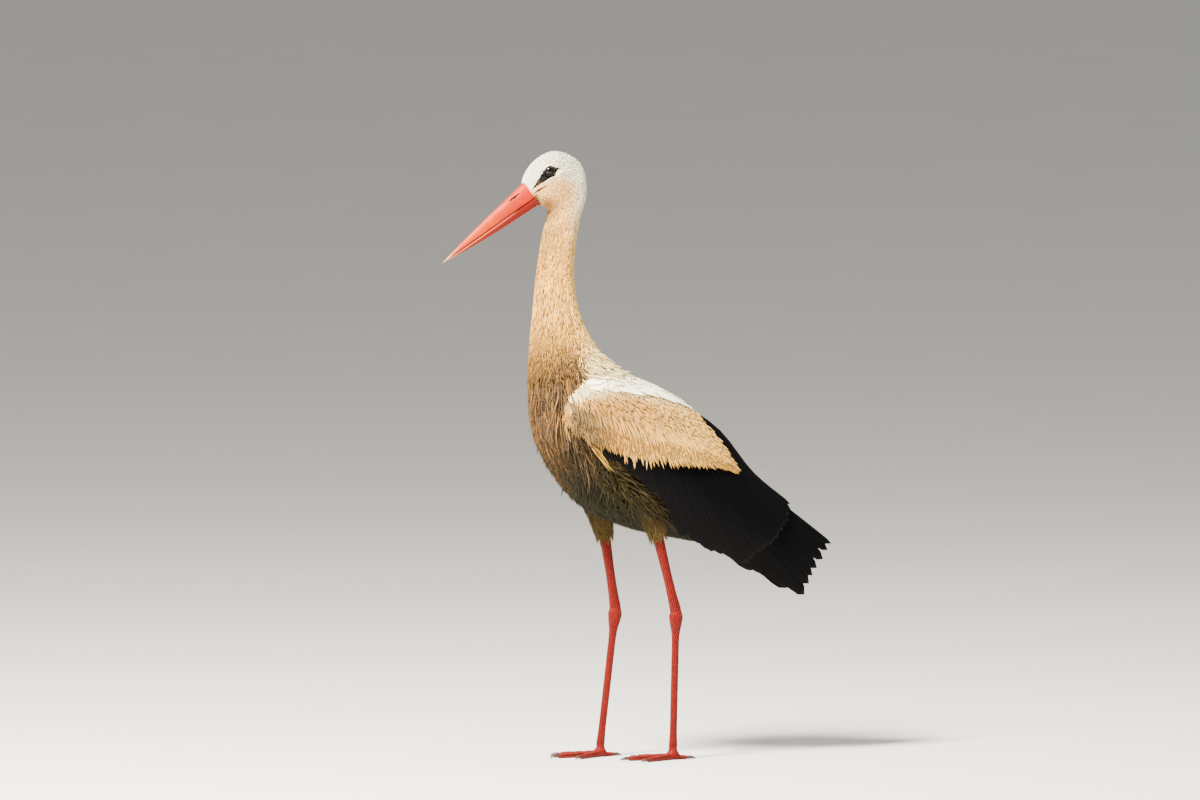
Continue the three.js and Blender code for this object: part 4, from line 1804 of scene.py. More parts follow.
@dataclass
class TrunkCoat(Coat):
    """Soft body feathers over a sector of the trunk: the back, or the flanks and belly.

    Attributes:
        sector: Lowest and highest sine of the turn round the body.
    """

    sector: Pair = (-1.2, 0.05)
    long: Slope = Slope(0.028, 0.011, 9.0, 12.0)
    wide: Slope = Slope(0.0040, 0.0006, 9.0, 12.5)
    deep: Slope = Slope(0.010)

    def mask(self, u: Array, v: Array) -> Array:
        """Where the coat grows, from 0 to 1.

        Args:
            u: Place along the surface.
            v: Place across or round it.

        Returns:
            The share of the full cover.
        """
        up = np.sin(TURN * v)
        behind = between(u, 8.7, 16.2, 0.3)
        under_wing = ramp(u, 10.9, 11.4) * between(up, -0.15, 0.72, 0.12)
        back = ramp(u, 11.7, 12.1) * ramp(up, 0.2, 0.4)
        here = between(up, *self.sector, 0.03)
        below = np.maximum(ramp(u, 10.6, 11.6), ramp(up, -0.1, 0.2))
        return here * behind * below * (1 - back) * (1 - under_wing)

    def lift(self, u: Array, v: Array) -> Array:
        """How high the tips lie over the outline.

        Args:
            u: Place along the surface.
            v: Place across or round it.

        Returns:
            Metres.
        """
        up = np.sin(TURN * v)
        puffed = between(u, 11.0, 13.2, 0.5) * between(up, -0.62, -0.34, 0.12)
        loose = between(up, -0.8, -0.5, 0.2) * between(u, 10.9, 13.0, 0.7)
        return 0.0012 - 0.0008 * ramp(u, 13.0, 14.0) + 0.0030 * loose + 0.006 * puffed

    def heading(self, surface: Surface, u: Array, v: Array) -> Array:
        """The direction in which the vanes lie: along the body, hanging a little on the flanks."""
        return surface.lie(u, v) + np.array([0.0, 0.0, -0.35]) * (1 - ramp(u, 13.0, 14.0))[..., None]


@dataclass
class ShoulderCoat(Coat):
    """Soft pale feathers in front of the wing, which lap over its bend."""

    long: Slope = Slope(0.040)
    wide: Slope = Slope(0.0044)
    deep: Slope = Slope(0.005)
    high: Slope = Slope(0.0036)

    def mask(self, u: Array, v: Array) -> Array:
        """Where the coat grows, from 0 to 1.

        Args:
            u: Place along the surface.
            v: Place across or round it.

        Returns:
            The share of the full cover.
        """
        up = np.sin(TURN * v)
        start = 10.10 - 0.78 * ramp(up, -0.5, 0.55)
        return ramp(u, start - 0.1, start + 0.15) * (1 - ramp(u, 10.45, 10.6)) * between(up, -0.6, 0.8, 0.1)

    def heading(self, surface: Surface, u: Array, v: Array) -> Array:
        """The direction in which the vanes lie: back over the wing and down."""
        return surface.lie(u, v) + np.array([0.0, 0.5, -0.1])

    def colour(self, u: Array, v: Array, tone: Array) -> Array:
        """Linear colours, paler than the breast beside them.

        Args:
            u: Place along the surface.
            v: Place across or round it.
            tone: 0 to 1, which varies from vane to vane.

        Returns:
            One linear colour for each place.
        """
        up = np.sin(TURN * v)
        pale = blend(Tint.SHOULDER.linear, Tint.COVERT_PALE.linear, 1 - ramp(up, -0.30, 0.30))
        pale = blend(pale, Tint.COVERT.linear, (1 - ramp(up, -0.66, -0.34)) * 0.8)
        pale = blend(pale, Tint.NECK.linear, (1 - ramp(u, 9.2, 9.9)) * 0.6)
        return blend(pale, Tint.NECK_DARK.linear, ramp(tone, 0.7, 1.0) * 0.25)


@dataclass
class ThighCoat(Coat):
    """Long narrow feathers of the thigh, which hang over the top of the bare shank."""

    long: Slope = Slope(0.044, -0.019, 0.33, 0.55)
    wide: Slope = Slope(0.0042, -0.0012, 0.4, 1.0)
    deep: Slope = Slope(0.008, -0.005, 0.4, 1.0)
    high: Slope = Slope(0.0020)

    def mask(self, u: Array, v: Array) -> Array:
        """Where the coat grows, from 0 to 1."""
        return between(u, 0.15, 0.54, 0.03)

    def colour(self, u: Array, v: Array, tone: Array) -> Array:
        """Linear colours."""
        return MARKINGS.thigh(u, tone)


@dataclass
class CovertCoat(Coat):
    """Fine coverts of the folded wing, whose tips point down."""

    form: WingForm = field(default_factory=WingForm)
    wide: Slope = Slope(0.0034, 0.0010, 0.3, 2.0)
    deep: Slope = Slope(-0.0020)
    high: Slope = Slope(0.0066)

    def mask(self, u: Array, v: Array) -> Array:
        """Where the coat grows, from 0 to 1.

        Args:
            u: Place along the surface.
            v: Place across or round it.

        Returns:
            The share of the full cover.
        """
        low = self.form.covert_low(u) + 0.14 - 0.06 * ramp(u, 3.4, 4.5)
        high = self.form.covert_high(u) - 0.03 * ramp(u, 2.5, 3.4)
        inside = ramp(v, low, low + 0.03) * (1 - ramp(v, high - 0.01, high + 0.03))
        return between(u, -0.1, 4.55, 0.04) * inside

    def length(self, u: Array, v: Array) -> Array:
        """Length of a vane in metres."""
        return (0.022 + 0.014 * ramp(u, 0.3, 2.0) * (1 - ramp(v, 0.5, 1.0))) * (1 - 0.45 * ramp(u, 3.0, 4.4))

    def heading(self, surface: Surface, u: Array, v: Array) -> Array:
        """The direction in which the vanes lie."""
        return surface.lie(u, v) * (0.55 * ramp(v, 0.55, 0.95))[..., None] + self.hang(u)

    @staticmethod
    def hang(station: Array) -> Array:
        """The way the tips point: down, and further back towards the rear corner."""
        back = 0.28 + 0.40 * ramp(station, 3.2, 4.8)
        return np.stack([0 * back, back, -1 + 0.2 * back], axis=-1)

    def colour(self, u: Array, v: Array, tone: Array) -> Array:
        """Linear colours."""
        return MARKINGS.wing(u, v, tone)

    def growth(self, surface: Surface) -> Growth:
        """Works out where every vane grows, with the tips at a steadier height than on the body.

        Args:
            surface: What they grow on.

        Returns:
            The vanes.
        """
        grown = super().growth(surface)
        rng = np.random.default_rng(self.seed + 7)
        grown.root = np.full(len(grown.u), 0.0012)
        grown.tip = rng.uniform(0.0036, 0.0058, len(grown.u))
        return grown


@dataclass
class FringeCoat(CovertCoat):
    """The lowest coverts: long tips that hang raggedly over the black feathers."""

    rows: int = 6
    spacing: float = 0.0022
    first: float = 0.50
    last: float = 4.52
    height: float = 0.0034
    widths: Pair = (0.0032, 0.0056)

    def edge(self, station: Array) -> Array:
        """Height at which the tips hang."""
        return self.form.covert_low(station)

    def growth(self, surface: Surface) -> Growth:
        """Sets the tips along the coverts' lower edge and works back to the roots.

        Args:
            surface: What they grow on.

        Returns:
            The vanes.
        """
        rng = np.random.default_rng(self.seed)
        stations = np.linspace(self.first, self.last, 400)
        line, _ = surface.read(stations, self.edge(stations))
        run = run_of(line)
        per_row = int(run[-1] / self.spacing)
        row = np.repeat(np.arange(self.rows), per_row)
        count = len(row)
        step = np.tile(np.arange(per_row), self.rows) + row * 0.37
        place = (step + rng.uniform(-0.4, 0.4, count)) / per_row
        tip_u = np.interp(np.clip(place, 0, 1) * run[-1], run, stations)
        above = 0.0075 * row + rng.uniform(-0.0075, 0.0040, count)
        _, up = surface.toward(tip_u, self.edge(tip_u), -self.hang(tip_u))
        tip_v = self.edge(tip_u) + above * up
        length = rng.uniform(0.034, 0.050, count) * (1 - 0.55 * ramp(tip_u, 3.1, 4.6))
        heading = self.hang(tip_u) + rng.normal(0, 0.07, (count, 3)) * [0, 1, 0]
        step_u, step_v = surface.toward(tip_u, tip_v, heading)
        u, v = tip_u - step_u * length, tip_v - step_v * length
        tone = rng.uniform(0, 1, count)
        height = self.height + 0.0008 * row
        keep = v < self.form.covert_high(u) + 0.015
        return thin(keep, Growth(
            surface, u, v, heading, length,
            rng.uniform(*self.widths, count),
            np.full(count, 0.0012),
            height + rng.uniform(-0.0006, 0.0010, count),
            rng.normal(0, 0.03, count),
            self.colour(tip_u, tip_v, tone),
            tone,
            np.column_stack([step_u, step_v]),
        ))


@dataclass
class StrandCoat(FringeCoat):
    """Loose strands of the side of the breast, which lie over the front of the wing's lower edge."""

    rows: int = 2
    spacing: float = 0.0085
    first: float = 0.95
    last: float = 1.95
    height: float = 0.0056
    widths: Pair = (0.0014, 0.0024)

    def edge(self, station: Array) -> Array:
        """Height at which the strands end."""
        return np.interp(station, (0.7, 1.18, 1.50, 1.86), (0.25, 0.12, 0.03, -0.03))

    @staticmethod
    def hang(station: Array) -> Array:
        """The way the strands point: down and well back."""
        return np.stack([0 * station, 0.75 + 0 * station, -1 + 0 * station], axis=-1)

    def colour(self, u: Array, v: Array, tone: Array) -> Array:
        """Linear colours: pale strands among brown ones."""
        return blend(Tint.PLUME_LIGHT.linear, Tint.COVERT_PALE.linear, ramp(tone, 0.3, 0.8))


# ------------------------------------------------------------------ large feathers


@dataclass
class QuillRow:
    """A row of large feathers laid one by one on a surface, each over the one before.

    Attributes:
        count: How many feathers.
        root_from: u and v of the first feather's root.
        root_to: u and v of the last feather's root.
        tip_from: u and v of the first feather's tip.
        tip_to: u and v of the last feather's tip.
        width: Width of a feather.
        heights: Height over the surface of the first and last feather's tip.
        drop: How far the roots lie under the tips.
        seed: Where its irregularities come from.
        colour: Tint of the row.
        bow: How far the row of tips bows outwards, in u.
        stray: How far each tip strays in u and in v.
    """

    count: int
    root_from: Pair
    root_to: Pair
    tip_from: Pair
    tip_to: Pair
    width: float
    heights: Pair
    drop: float
    seed: int
    colour: Tint = Tint.JET
    bow: float = 0.0
    stray: Pair = (0.03, 0.0)

    def growth(self, surface: Surface) -> Growth:
        """Works out where every feather lies.

        Args:
            surface: What they grow on.

        Returns:
            The vanes.
        """
        rng = np.random.default_rng(self.seed)
        share = np.linspace(0, 1, self.count)
        root = blend(np.array(self.root_from), np.array(self.root_to), share)
        tip = blend(np.array(self.tip_from), np.array(self.tip_to), share)
        tip[:, 0] += self.bow * np.sin(math.pi * share)
        tip += rng.uniform(-1, 1, tip.shape) * self.stray
        start, _ = surface.read(root[:, 0], root[:, 1])
        end, _ = surface.read(tip[:, 0], tip[:, 1])
        steps = np.linspace(0, 1, 12)[:, None, None]
        path, _ = surface.read(*np.moveaxis(root + (tip - root) * steps, -1, 0))
        length = np.linalg.norm(np.diff(path, axis=0), axis=-1).sum(0)
        height = self.heights[0] + (self.heights[1] - self.heights[0]) * share
        tone = rng.uniform(0, 1, self.count)
        return Growth(
            surface, root[:, 0], root[:, 1], end - start, length,
            self.width * rng.uniform(0.90, 1.10, self.count),
            height - self.drop, height,
            rng.normal(0, 0.008, self.count),
            np.tile(self.colour.linear, (self.count, 1)),
            tone,
            (tip - root) / length[:, None],
        )


def thin(keep: Array, grown: Growth) -> Growth:
    """Keeps only some vanes of a growth.

    Args:
        keep: Which vanes stay.
        grown: All the vanes.

    Returns:
        The vanes that stay.
    """
    for title, value in vars(grown).items():
        if isinstance(value, Array):
            setattr(grown, title, value[keep])
    return grown


@dataclass(frozen=True)
class Quills:
    """A piece of several rows of large feathers on one surface.

    Attributes:
        name: The piece's name.
        slot: The record's slot.
        shape: The shape of its feathers.
        seed: Where the unevenness of its edges comes from.
    """

    name: str
    slot: Slot
    shape: Vane
    seed: int

    def build(self, rows: list[QuillRow], surface: Surface, material: Material, *nodes: str) -> None:
        """Makes the piece.

        Args:
            rows: Its rows of feathers.
            surface: What they lie on.
            material: Its material.
            nodes: CAD nodes that it stands for.
        """
        parts = [vars(row.growth(surface)) for row in rows]
        titles = [title for title in parts[0] if title != "surface"]
        joined = {title: np.concatenate([part[title] for part in parts]) for title in titles}
        grown = Growth(surface, **joined)
        piece = VaneMesh(self.shape, np.random.default_rng(self.seed)).build(self.name, grown)
        settle(piece, material, self.slot, *nodes)


@dataclass(frozen=True)
class FlightFeathers:
    """The black feathers of one wing: secondaries with tertials over them, and primaries under them.

    Attributes:
        side: The wing's side.
        shape: The shape of its feathers.
        second_lift: How much higher the right wing holds its secondaries, in wing heights.
        prime_lift: How much higher it holds its primaries.
    """

    side: Side
    shape: Vane = Vane(12, 7, 0.55, 0.6, point=2.6, thick=0.0014, arch=0.05, ragged=0.035, rise=1.0)
    second_lift: float = 0.36
    prime_lift: float = 0.2

    def build(self, wing: Surface, material: Material) -> None:
        """Makes both pieces.

        Args:
            wing: The wing's sheet.
            material: The finish.
        """
        up, seed = 0.0 if self.side is Side.LEFT else self.second_lift, 40 + self.side.value
        rows = [
            QuillRow(
                9, (0.75, 0.52), (2.2, 0.50), (1.95, 0.12 + up), (3.30, 0.11 + up),
                0.034, (-0.0045, -0.0034), 0.002, seed,
            ),
            QuillRow(
                5, (2.0, 0.50), (2.5, 0.52), (3.34, 0.10 + up), (3.86, -0.05 + up),
                0.032, (-0.0036, -0.0028), 0.002, seed + 5,
            ),
            QuillRow(
                9, (2.2, 0.52), (3.3, 0.55), (3.94, -0.02 + up), (5.40, -0.03 + up * 0.6),
                0.038, (-0.0028, -0.0018), 0.002, seed + 1,
            ),
            QuillRow(
                8, (3.2, 0.60), (3.7, 0.76), (5.44, 0.03 + up * 0.4), (5.84, 0.46),
                0.038, (-0.0014, -0.0002), 0.002, seed + 2,
            ),
            QuillRow(
                7, (3.1, 0.74), (2.9, 0.98), (5.82, 0.50), (5.92, 0.96),
                0.032, (0.0002, 0.0028), 0.002, seed + 4, bow=0.08,
            ),
        ]
        quills = Quills(f"secondaries_{self.side.word}", Slot.BLACK, self.shape, seed)
        quills.build(rows, wing, material, f"wing_secondaries_{self.side.word}")
        up, seed = 0.0 if self.side is Side.LEFT else self.prime_lift, 60 + self.side.value
        rows = [
            QuillRow(
                7, (4.0, 0.20), (4.3, 0.52), (5.75, -0.03 + up), (6.92, 0.04 + up * 0.3),
                0.032, (-0.0100, -0.0078), 0.001, seed, bow=0.06,
            ),
            QuillRow(
                6, (4.3, 0.55), (4.4, 0.86), (6.90, 0.20), (6.97, 0.95),
                0.028, (-0.0076, -0.0050), 0.001, seed + 2, stray=(0.04, 0.02),
            ),
        ]
        quills = Quills(f"primaries_{self.side.word}", Slot.BLACK, self.shape, seed)
        quills.build(rows, wing, material, f"wing_primaries_{self.side.word}")


@dataclass(frozen=True)
class Scapulars:
    """Long white feathers over the shoulder and the upper edge of the wing.

    Attributes:
        side: The wing's side.
        shape: The shape of its feathers.
        rows: Rows from the wing up over the back.
        per_row: Feathers in a row.
        width: Width of a feather.
        skirt: How far the lowest row stands out over the coverts.
    """

    side: Side
    shape: Vane = Vane(8, 5, widest=0.55, root_width=0.5, point=1.45, thick=0.0003, arch=0.06, ragged=0.16)
    rows: int = 7
    per_row: int = 20
    width: float = 0.0125
    skirt: float = 0.0025

    def build(self, wing: Surface, material: Material) -> None:
        """Makes the piece.

        Args:
            wing: The wing's sheet.
            material: The finish.
        """
        rows = []
        for place in range(self.rows):
            first, last = 0.80 + 0.040 * place, 0.96 + 0.022 * place
            skirt = self.skirt if place == 0 else 0
            heights = (0.0046 + 0.0003 * place + skirt, 0.0054 + 0.0003 * place)
            rows.append(QuillRow(
                self.per_row, (2.36, last + 0.01), (0.72, first + 0.03), (3.16, last), (1.36, first),
                self.width, heights, 0.003, 80 + place + self.side.value, Tint.SCAPULAR, stray=(0.16, 0.022),
            ))
        quills = Quills(f"scapulars_{self.side.word}", Slot.WHITE, self.shape, 90)
        quills.build(rows, wing, material)


@dataclass(frozen=True)
class Tail:
    """Twelve white tail feathers, stacked under the folded wings.

    Attributes:
        root: y and z of the fan's root.
        end: y and z of its end.
        root_half: Half its width at the root.
        end_half: Half its width at the end.
    """

    root: Pair = (0.165, 0.352)
    end: Pair = (0.268, 0.272)
    root_half: float = 0.018
    end_half: float = 0.024

    def surface(self) -> Surface:
        """The tail's fan, from root to end and from right to left.

        Returns:
            The surface.
        """
        along = np.linspace(-0.1, 1.05, 24)[:, None]
        across = np.linspace(-1.2, 1.2, 24)[None, :]
        points = np.zeros((24, 24, 3))
        points[..., 0] = across * (self.root_half + (self.end_half - self.root_half) * along)
        points[..., 1] = self.root[0] + (self.end[0] - self.root[0]) * along
        points[..., 2] = self.root[1] + (self.end[1] - self.root[1]) * along - 0.004 * across**2
        return Surface(points + SHIFT, (-0.1, 1.05), (-1.2, 1.2), closed=False)

    def build(self, material: Material) -> None:
        """Makes the piece.

        Args:
            material: The finish.
        """
        shape = Vane(9, 5, 0.6, root_width=0.5, point=2.8, thick=0.0012, arch=0.06, ragged=0.05, rise=1.0)
        rows = [
            QuillRow(
                6, (0.0, 0.7 * sign), (0.0, 0.1 * sign), (0.76, 0.85 * sign), (0.82, 0.16 * sign),
                0.020, (-0.003, 0.003), 0.003, 100 + sign, Tint.TAIL,
            )
            for sign in (-1, 1)
        ]
        Quills("tail_feathers", Slot.WHITE, shape, 104).build(rows, self.surface(), material, "tail")


# ------------------------------------------------------------------ modelling


def deselect() -> None:
    """Leaves nothing selected, because an operator acts on all that is."""
    if bpy.context.object and bpy.context.object.mode != "OBJECT":
        bpy.ops.object.mode_set(mode="OBJECT")
    bpy.ops.object.select_all(action="DESELECT")


def take(piece: Piece) -> None:
    """Selects one object alone and makes it the active one.

    Args:
        piece: The piece.
    """
    deselect()
    piece.select_set(True)
    bpy.context.view_layer.objects.active = piece


def smooth(piece: Piece) -> None:
    """Shades a piece smoothly."""
    take(piece)
    bpy.ops.object.shade_smooth()


def sphere(segments: int, rings: int, radius: float = 1.0) -> Piece:
    """A new sphere round the origin.

    Args:
        segments: Sides round it.
        rings: Rings along it.
        radius: Its radius.

    Returns:
        The piece.
    """
    deselect()
    bpy.ops.mesh.primitive_uv_sphere_add(segments=segments, ring_count=rings, radius=radius)
    return bpy.context.object


def apply(piece: Piece, kind: str, **settings: object) -> None:
    """Adds a modifier with its settings and applies it.

    Args:
        piece: The piece.
        kind: The modifier's kind.
        settings: Its settings.
    """
    take(piece)
    modifier = piece.modifiers.new(kind.title(), kind)
    for name, value in settings.items():
        setattr(modifier, name, value)
    bpy.ops.object.modifier_apply(modifier=modifier.name)


def vertices(piece: Piece) -> Array:
    """The points of a piece's mesh.

    Args:
        piece: The piece.

    Returns:
        One row for each point.
    """
    points = np.empty(len(piece.data.vertices) * 3, np.float32)
    piece.data.vertices.foreach_get("co", points)
    return points.reshape(-1, 3).astype(float)


def move(piece: Piece, points: Array) -> None:
    """Puts a piece's points in new places."""
    piece.data.vertices.foreach_set("co", points.astype(np.float32).ravel())
    piece.data.update()


def net(name: str, surface: Surface, rings: int, segments: int) -> Piece:
    """A closed form: a sphere whose rings are drawn onto a surface that closes round itself.

    Args:
        name: The new object's name.
        surface: The surface to take on.
        rings: Rings along it.
        segments: Sides around it.

    Returns:
        The new object, with how far along and how far round each point lies as lay and spread.
    """
    piece = sphere(segments, rings)
    piece.name = piece.data.name = name
    ball = vertices(piece)
    along = np.arccos(np.clip(ball[:, 2], -1, 1)) / math.pi
    around = np.arctan2(ball[:, 1], ball[:, 0]) / TURN % 1
    u = surface.u_range[0] + (surface.u_range[1] - surface.u_range[0]) * along
    points, _ = surface.read(u, around)
    for pole, row in ((along < 1e-3, 0), (along > 1 - 1e-3, -1)):
        points[pole] = surface.points[row].mean(axis=0)
    move(piece, points)
    write(piece, "lay", along)
    write(piece, "spread", np.sin(TURN * around))
    smooth(piece)
    return piece


@dataclass
class EyeFrame:
    """Axes of one eye: out of the head, forward along the face and up."""

    side: Side
    centre: Array
    out: Array
    forward: Array
    up: Array

    @classmethod
    def at(cls, side: Side, body: Surface) -> "EyeFrame":
        """Finds how the eye sits in the side of the head.

        Args:
            side: The bird's side.
            body: The body's outline.

        Returns:
            The eye's axes.
        """
        centre = EYE_CENTRE * [side.value, 1, 1] + SHIFT + [0, 0.0014, 0.0011]
        u, v = np.meshgrid(np.linspace(1.2, 4.5, 120), np.linspace(0, 1, 120), indexing="ij")
        points, normals = body.read(u, v)
        apart = np.linalg.norm(points - centre, axis=-1) + np.where(points[..., 0] * side.value > 0, 0, 1)
        nearest = np.unravel_index(np.argmin(apart), apart.shape)
        out = unit(normals[nearest] * [1.0, 0.6, 0.6])
        ahead = np.array([0.0, -0.80, -0.60])
        forward = unit(ahead - out * (out @ ahead))
        return cls(side, centre, out, forward, np.cross(out, forward) * side.value * -1)

    def local(self, points: Array) -> tuple[Array, Array, Array]:
        """How far points lie out of the eye's centre, forward and up from it."""
        away = points - self.centre
        return away @ self.out, away @ self.forward, away @ self.up


@dataclass
class Eyes:
    """Both eyeballs, with the bulge of the cornea."""

    radius: float = 0.0090
    bulge: float = 0.0005

    def build(self, body: Surface, material: Material) -> None:
        """Makes the eyeballs.

        Args:
            body: The body's outline.
            material: The finish.
        """
        for side in Side:
            eye = EyeFrame.at(side, body)
            ball = sphere(64, 40, self.radius)
            ball.name = ball.data.name = f"eyeball_{side.word}"
            local = vertices(ball)
            height = local[:, 2] / self.radius
            local[:, 2] += self.bulge * ramp(height, 0.70, 0.95)
            axes = np.array([eye.forward, np.cross(eye.out, eye.forward), eye.out])
            move(ball, local @ axes + eye.centre)
            reach = np.hypot(local[:, 0], local[:, 1]) / self.radius
            write(ball, "reach", np.where(height > 0, reach, 1.0))
            write(ball, "turn", np.arctan2(local[:, 1], local[:, 0]) / TURN)
            smooth(ball)
            settle(ball, material, Slot.EYE, f"eye_{side.word}")


@dataclass
class Bill:
    """Both mandibles, with the nostril's slit and groove on each side.

    Attributes:
        tip: y and z of the tip.
        root_top: y and z of the ridge at the feathers.
        root_bottom: y and z of the lower edge at the feathers.
        gape: y and z of the corner of the mouth.
        half_width: Half the width at the feathers.
        swell: How far the ridge bows up.
        sag: How far the lower edge bows down.
        inlet: Share of the form that is let into the head.
    """

    tip: Pair = (-0.3320, 0.7715)
    root_top: Pair = (-0.1975, 0.8893)
    root_bottom: Pair = (-0.1725, 0.8570)
    gape: Pair = (-0.176, 0.8735)
    half_width: float = 0.0125
    swell: float = 0.0014
    sag: float = 0.0028
    inlet: float = 0.08
    nostril_front: Pair = (-0.2218, 0.8640)
    nostril_rear: Pair = (-0.2048, 0.8757)
    nostril_half: float = 0.0012
    nostril_depth: float = 0.0030
    groove_length: float = 0.062

    def mandible(self, upper: bool) -> Surface:
        """One mandible's surface, from the tip at 0 back into the head at 1.

        Args:
            upper: Whether it is the upper mandible.

        Returns:
            The surface.
        """
        rows, around = 240, 96
        share = np.linspace(0, 1, rows)
        seen = np.minimum(share / (1 - self.inlet), 1)
        sunk = np.clip((share - (1 - self.inlet)) / self.inlet, 0, 1)
        tip = np.array(self.tip)

        def line(root: Pair, swell: float) -> Array:
            """An edge from the tip to its root, bowed.

            Args:
                root: y and z of the root.
                swell: How far it bows up.

            Returns:
                One point for each row.
            """
            points = tip + (np.array(root) - tip) * seen[:, None]
            points[:, 1] += swell * np.sin(math.pi * seen)
            return points

        mouth = line(self.gape, -0.0008)
        edge = line(self.root_top, self.swell) if upper else line(self.root_bottom, -self.sag)
        inward = unit(np.array(self.root_bottom) - tip) * 0.013
        for points in (mouth, edge):
            points += sunk[:, None] * inward
        narrow = 1 - 0.62 * sunk
        reach = (edge - mouth) * narrow[:, None]
        blunt = np.sqrt(np.clip(seen / 0.02, 0, 1))
        half = self.half_width * np.maximum(seen, 0.004) ** 0.80 * narrow * (1.0 if upper else 0.93)
        turn = np.arange(around) / around * TURN
        sine, cosine = np.sin(turn), np.cos(turn)
        rounded = np.sign(sine) * np.abs(sine) ** 0.88
        flat = 0.035
        sign = 1 if upper else -1
        share_up = np.where(sine * sign > 0, rounded, flat * sine) * sign
        gap = 0.0006 * np.minimum(seen * 4, 1) * sign
        points = np.zeros((rows, around, 3))
        points[..., 0] = np.sign(cosine) * np.abs(cosine) ** 0.92 * (half * blunt)[:, None]
        for axis in (0, 1):
            points[..., axis + 1] = mouth[:, axis, None] + reach[:, axis, None] * share_up * blunt[:, None]
        points[..., 2] += gap[:, None]
        return Surface(points + SHIFT)

    def carve(self, piece: Piece) -> None:
        """Sinks the nostrils and the grooves in front of them into the upper mandible.

        Args:
            piece: The upper mandible.
        """
        points = vertices(piece)
        flat = (points - SHIFT)[:, 1:]
        front, rear = np.array(self.nostril_front), np.array(self.nostril_rear)
        middle, length = (front + rear) / 2, np.linalg.norm(rear - front)
        axis = (rear - front) / length
        along = (flat - middle) @ axis
        aside = (flat - middle) @ np.array([-axis[1], axis[0]])
        slit = np.clip(1 - (along / (length / 2)) ** 2 - (aside / self.nostril_half) ** 2, 0, 1)
        lip = np.exp(-(((aside) / 0.0024) ** 2) - (along / (length * 0.62)) ** 2)
        ahead = -(along + length / 2)
        groove = between(ahead, -0.004, self.groove_length, 0.016) * np.exp(-((aside / 0.0013) ** 2))
        outside = np.abs(points[:, 0]) > 0.002
        inward = outside * (self.nostril_depth * slit**0.5 + 0.0005 * groove - 0.0004 * lip * (slit <= 0))
        points[:, 0] -= np.sign(points[:, 0]) * np.minimum(inward, np.abs(points[:, 0]) * 0.8)
        move(piece, points)
        # hollow marks the nostril's slit for its painted shade.
        write(piece, "hollow", outside * np.clip(slit * 3, 0, 1))

    def mark_rim(self, piece: Piece, upper: bool) -> None:
        """Marks the mandible's edge along the mouth, most strongly half way, for painted shade on the upper
        mandible and a painted highlight on the lower.

        Args:
            piece: The mandible.
            upper: Whether it is the upper mandible.
        """
        flat = (vertices(piece) - SHIFT)[:, 1:] - self.tip
        line = np.array(self.gape) - self.tip
        share = flat @ line / (line @ line)
        above = flat @ np.array([-line[1], line[0]]) / np.linalg.norm(line) + 0.0007 * np.sin(math.pi * share)
        rim = 1 - (ramp(above, 0.0013, 0.0027) if upper else ramp(-above, 0.0019, 0.0030))
        write(piece, "rim", rim * between(share, 0.14, 0.80 if upper else 0.70, 0.1) * 0.85)

    def build(self) -> None:
        """Makes both mandibles, the lower one darker red with painted shade."""
        light = HornFinish("upper_horn", 0.40)
        # The lower mandible's base and middle are darkened with painted shade. Its rim colour is a painted
        # highlight along the mouth.
        lower_shade_and_highlight = {"base": (0.17, 0.006, 0.003), "middle": (0.24, 0.011, 0.005), "rim": (0.50, 0.12, 0.06)}
        deep = HornFinish("lower_horn", 0.44, **lower_shade_and_highlight)
        for word, upper, finish in (("upper", True, light), ("lower", False, deep)):
            piece = net(f"mandible_{word}", self.mandible(upper), 220, 96)
            flip = np.empty(len(piece.data.vertices), np.float32)
            piece.data.attributes["lay"].data.foreach_get("value", flip)
            piece.data.attributes["lay"].data.foreach_set("value", (1 - flip / (1 - self.inlet)).clip(0, 1))
            if upper:
                self.carve(piece)
            else:
                write(piece, "hollow", np.zeros(len(flip)))
            self.mark_rim(piece, upper)
            settle(piece, finish.build(), Slot.BILL, f"bill_{word}")


@dataclass
class Lids:
    """The lids round one eye, in metres on the eye's own axes."""

    long: float = 0.0082
    high: float = 0.0064
    thick: float = 0.0011
    ball: float = 0.0090
    blend_from: float = 0.0100
    blend_to: float = 0.0155

    def shape(self, points: Array, eye: EyeFrame) -> Array:
        """Draws the skin over the ball and opens it between the lids.

        Args:
            points: The skin's points.
            eye: The eye's axes.

        Returns:
            The points after the move.
        """
        out, ahead, up = eye.local(points)
        reach = np.hypot(ahead, up)
        near = (out > -0.004) & (reach < self.blend_to)
        corner = np.clip(1 - (np.abs(ahead) / (self.long * 1.12)) ** 2.4, 0.02, 1) ** 0.5
        ahead_share, up_share = ahead / self.long, up / (self.high * np.maximum(corner, 0.2))
        open_share = np.maximum(np.abs(ahead_share), np.hypot(ahead_share, up_share))
        lid = np.sqrt(np.maximum((self.ball + self.thick) ** 2 - reach**2, 1e-8))
        sunk = np.sqrt(np.maximum((self.ball - 0.0012) ** 2 - np.minimum(reach, self.ball - 0.0013) ** 2, 0))
        fold = 0.00045 * np.sin(np.clip((open_share - 1.05) / 0.5, 0, 3) * TURN)
        fold *= 1 - ramp(open_share, 1.3, 1.9)
        rim = ramp(open_share, 0.93, 1.03)
        target = sunk + (lid - sunk) * rim + fold * rim
        share = 1 - ramp(reach, self.blend_from, self.blend_to)
        moved = points + eye.out * ((target - out) * share)[:, None]
        return np.where(near[:, None], moved, points)


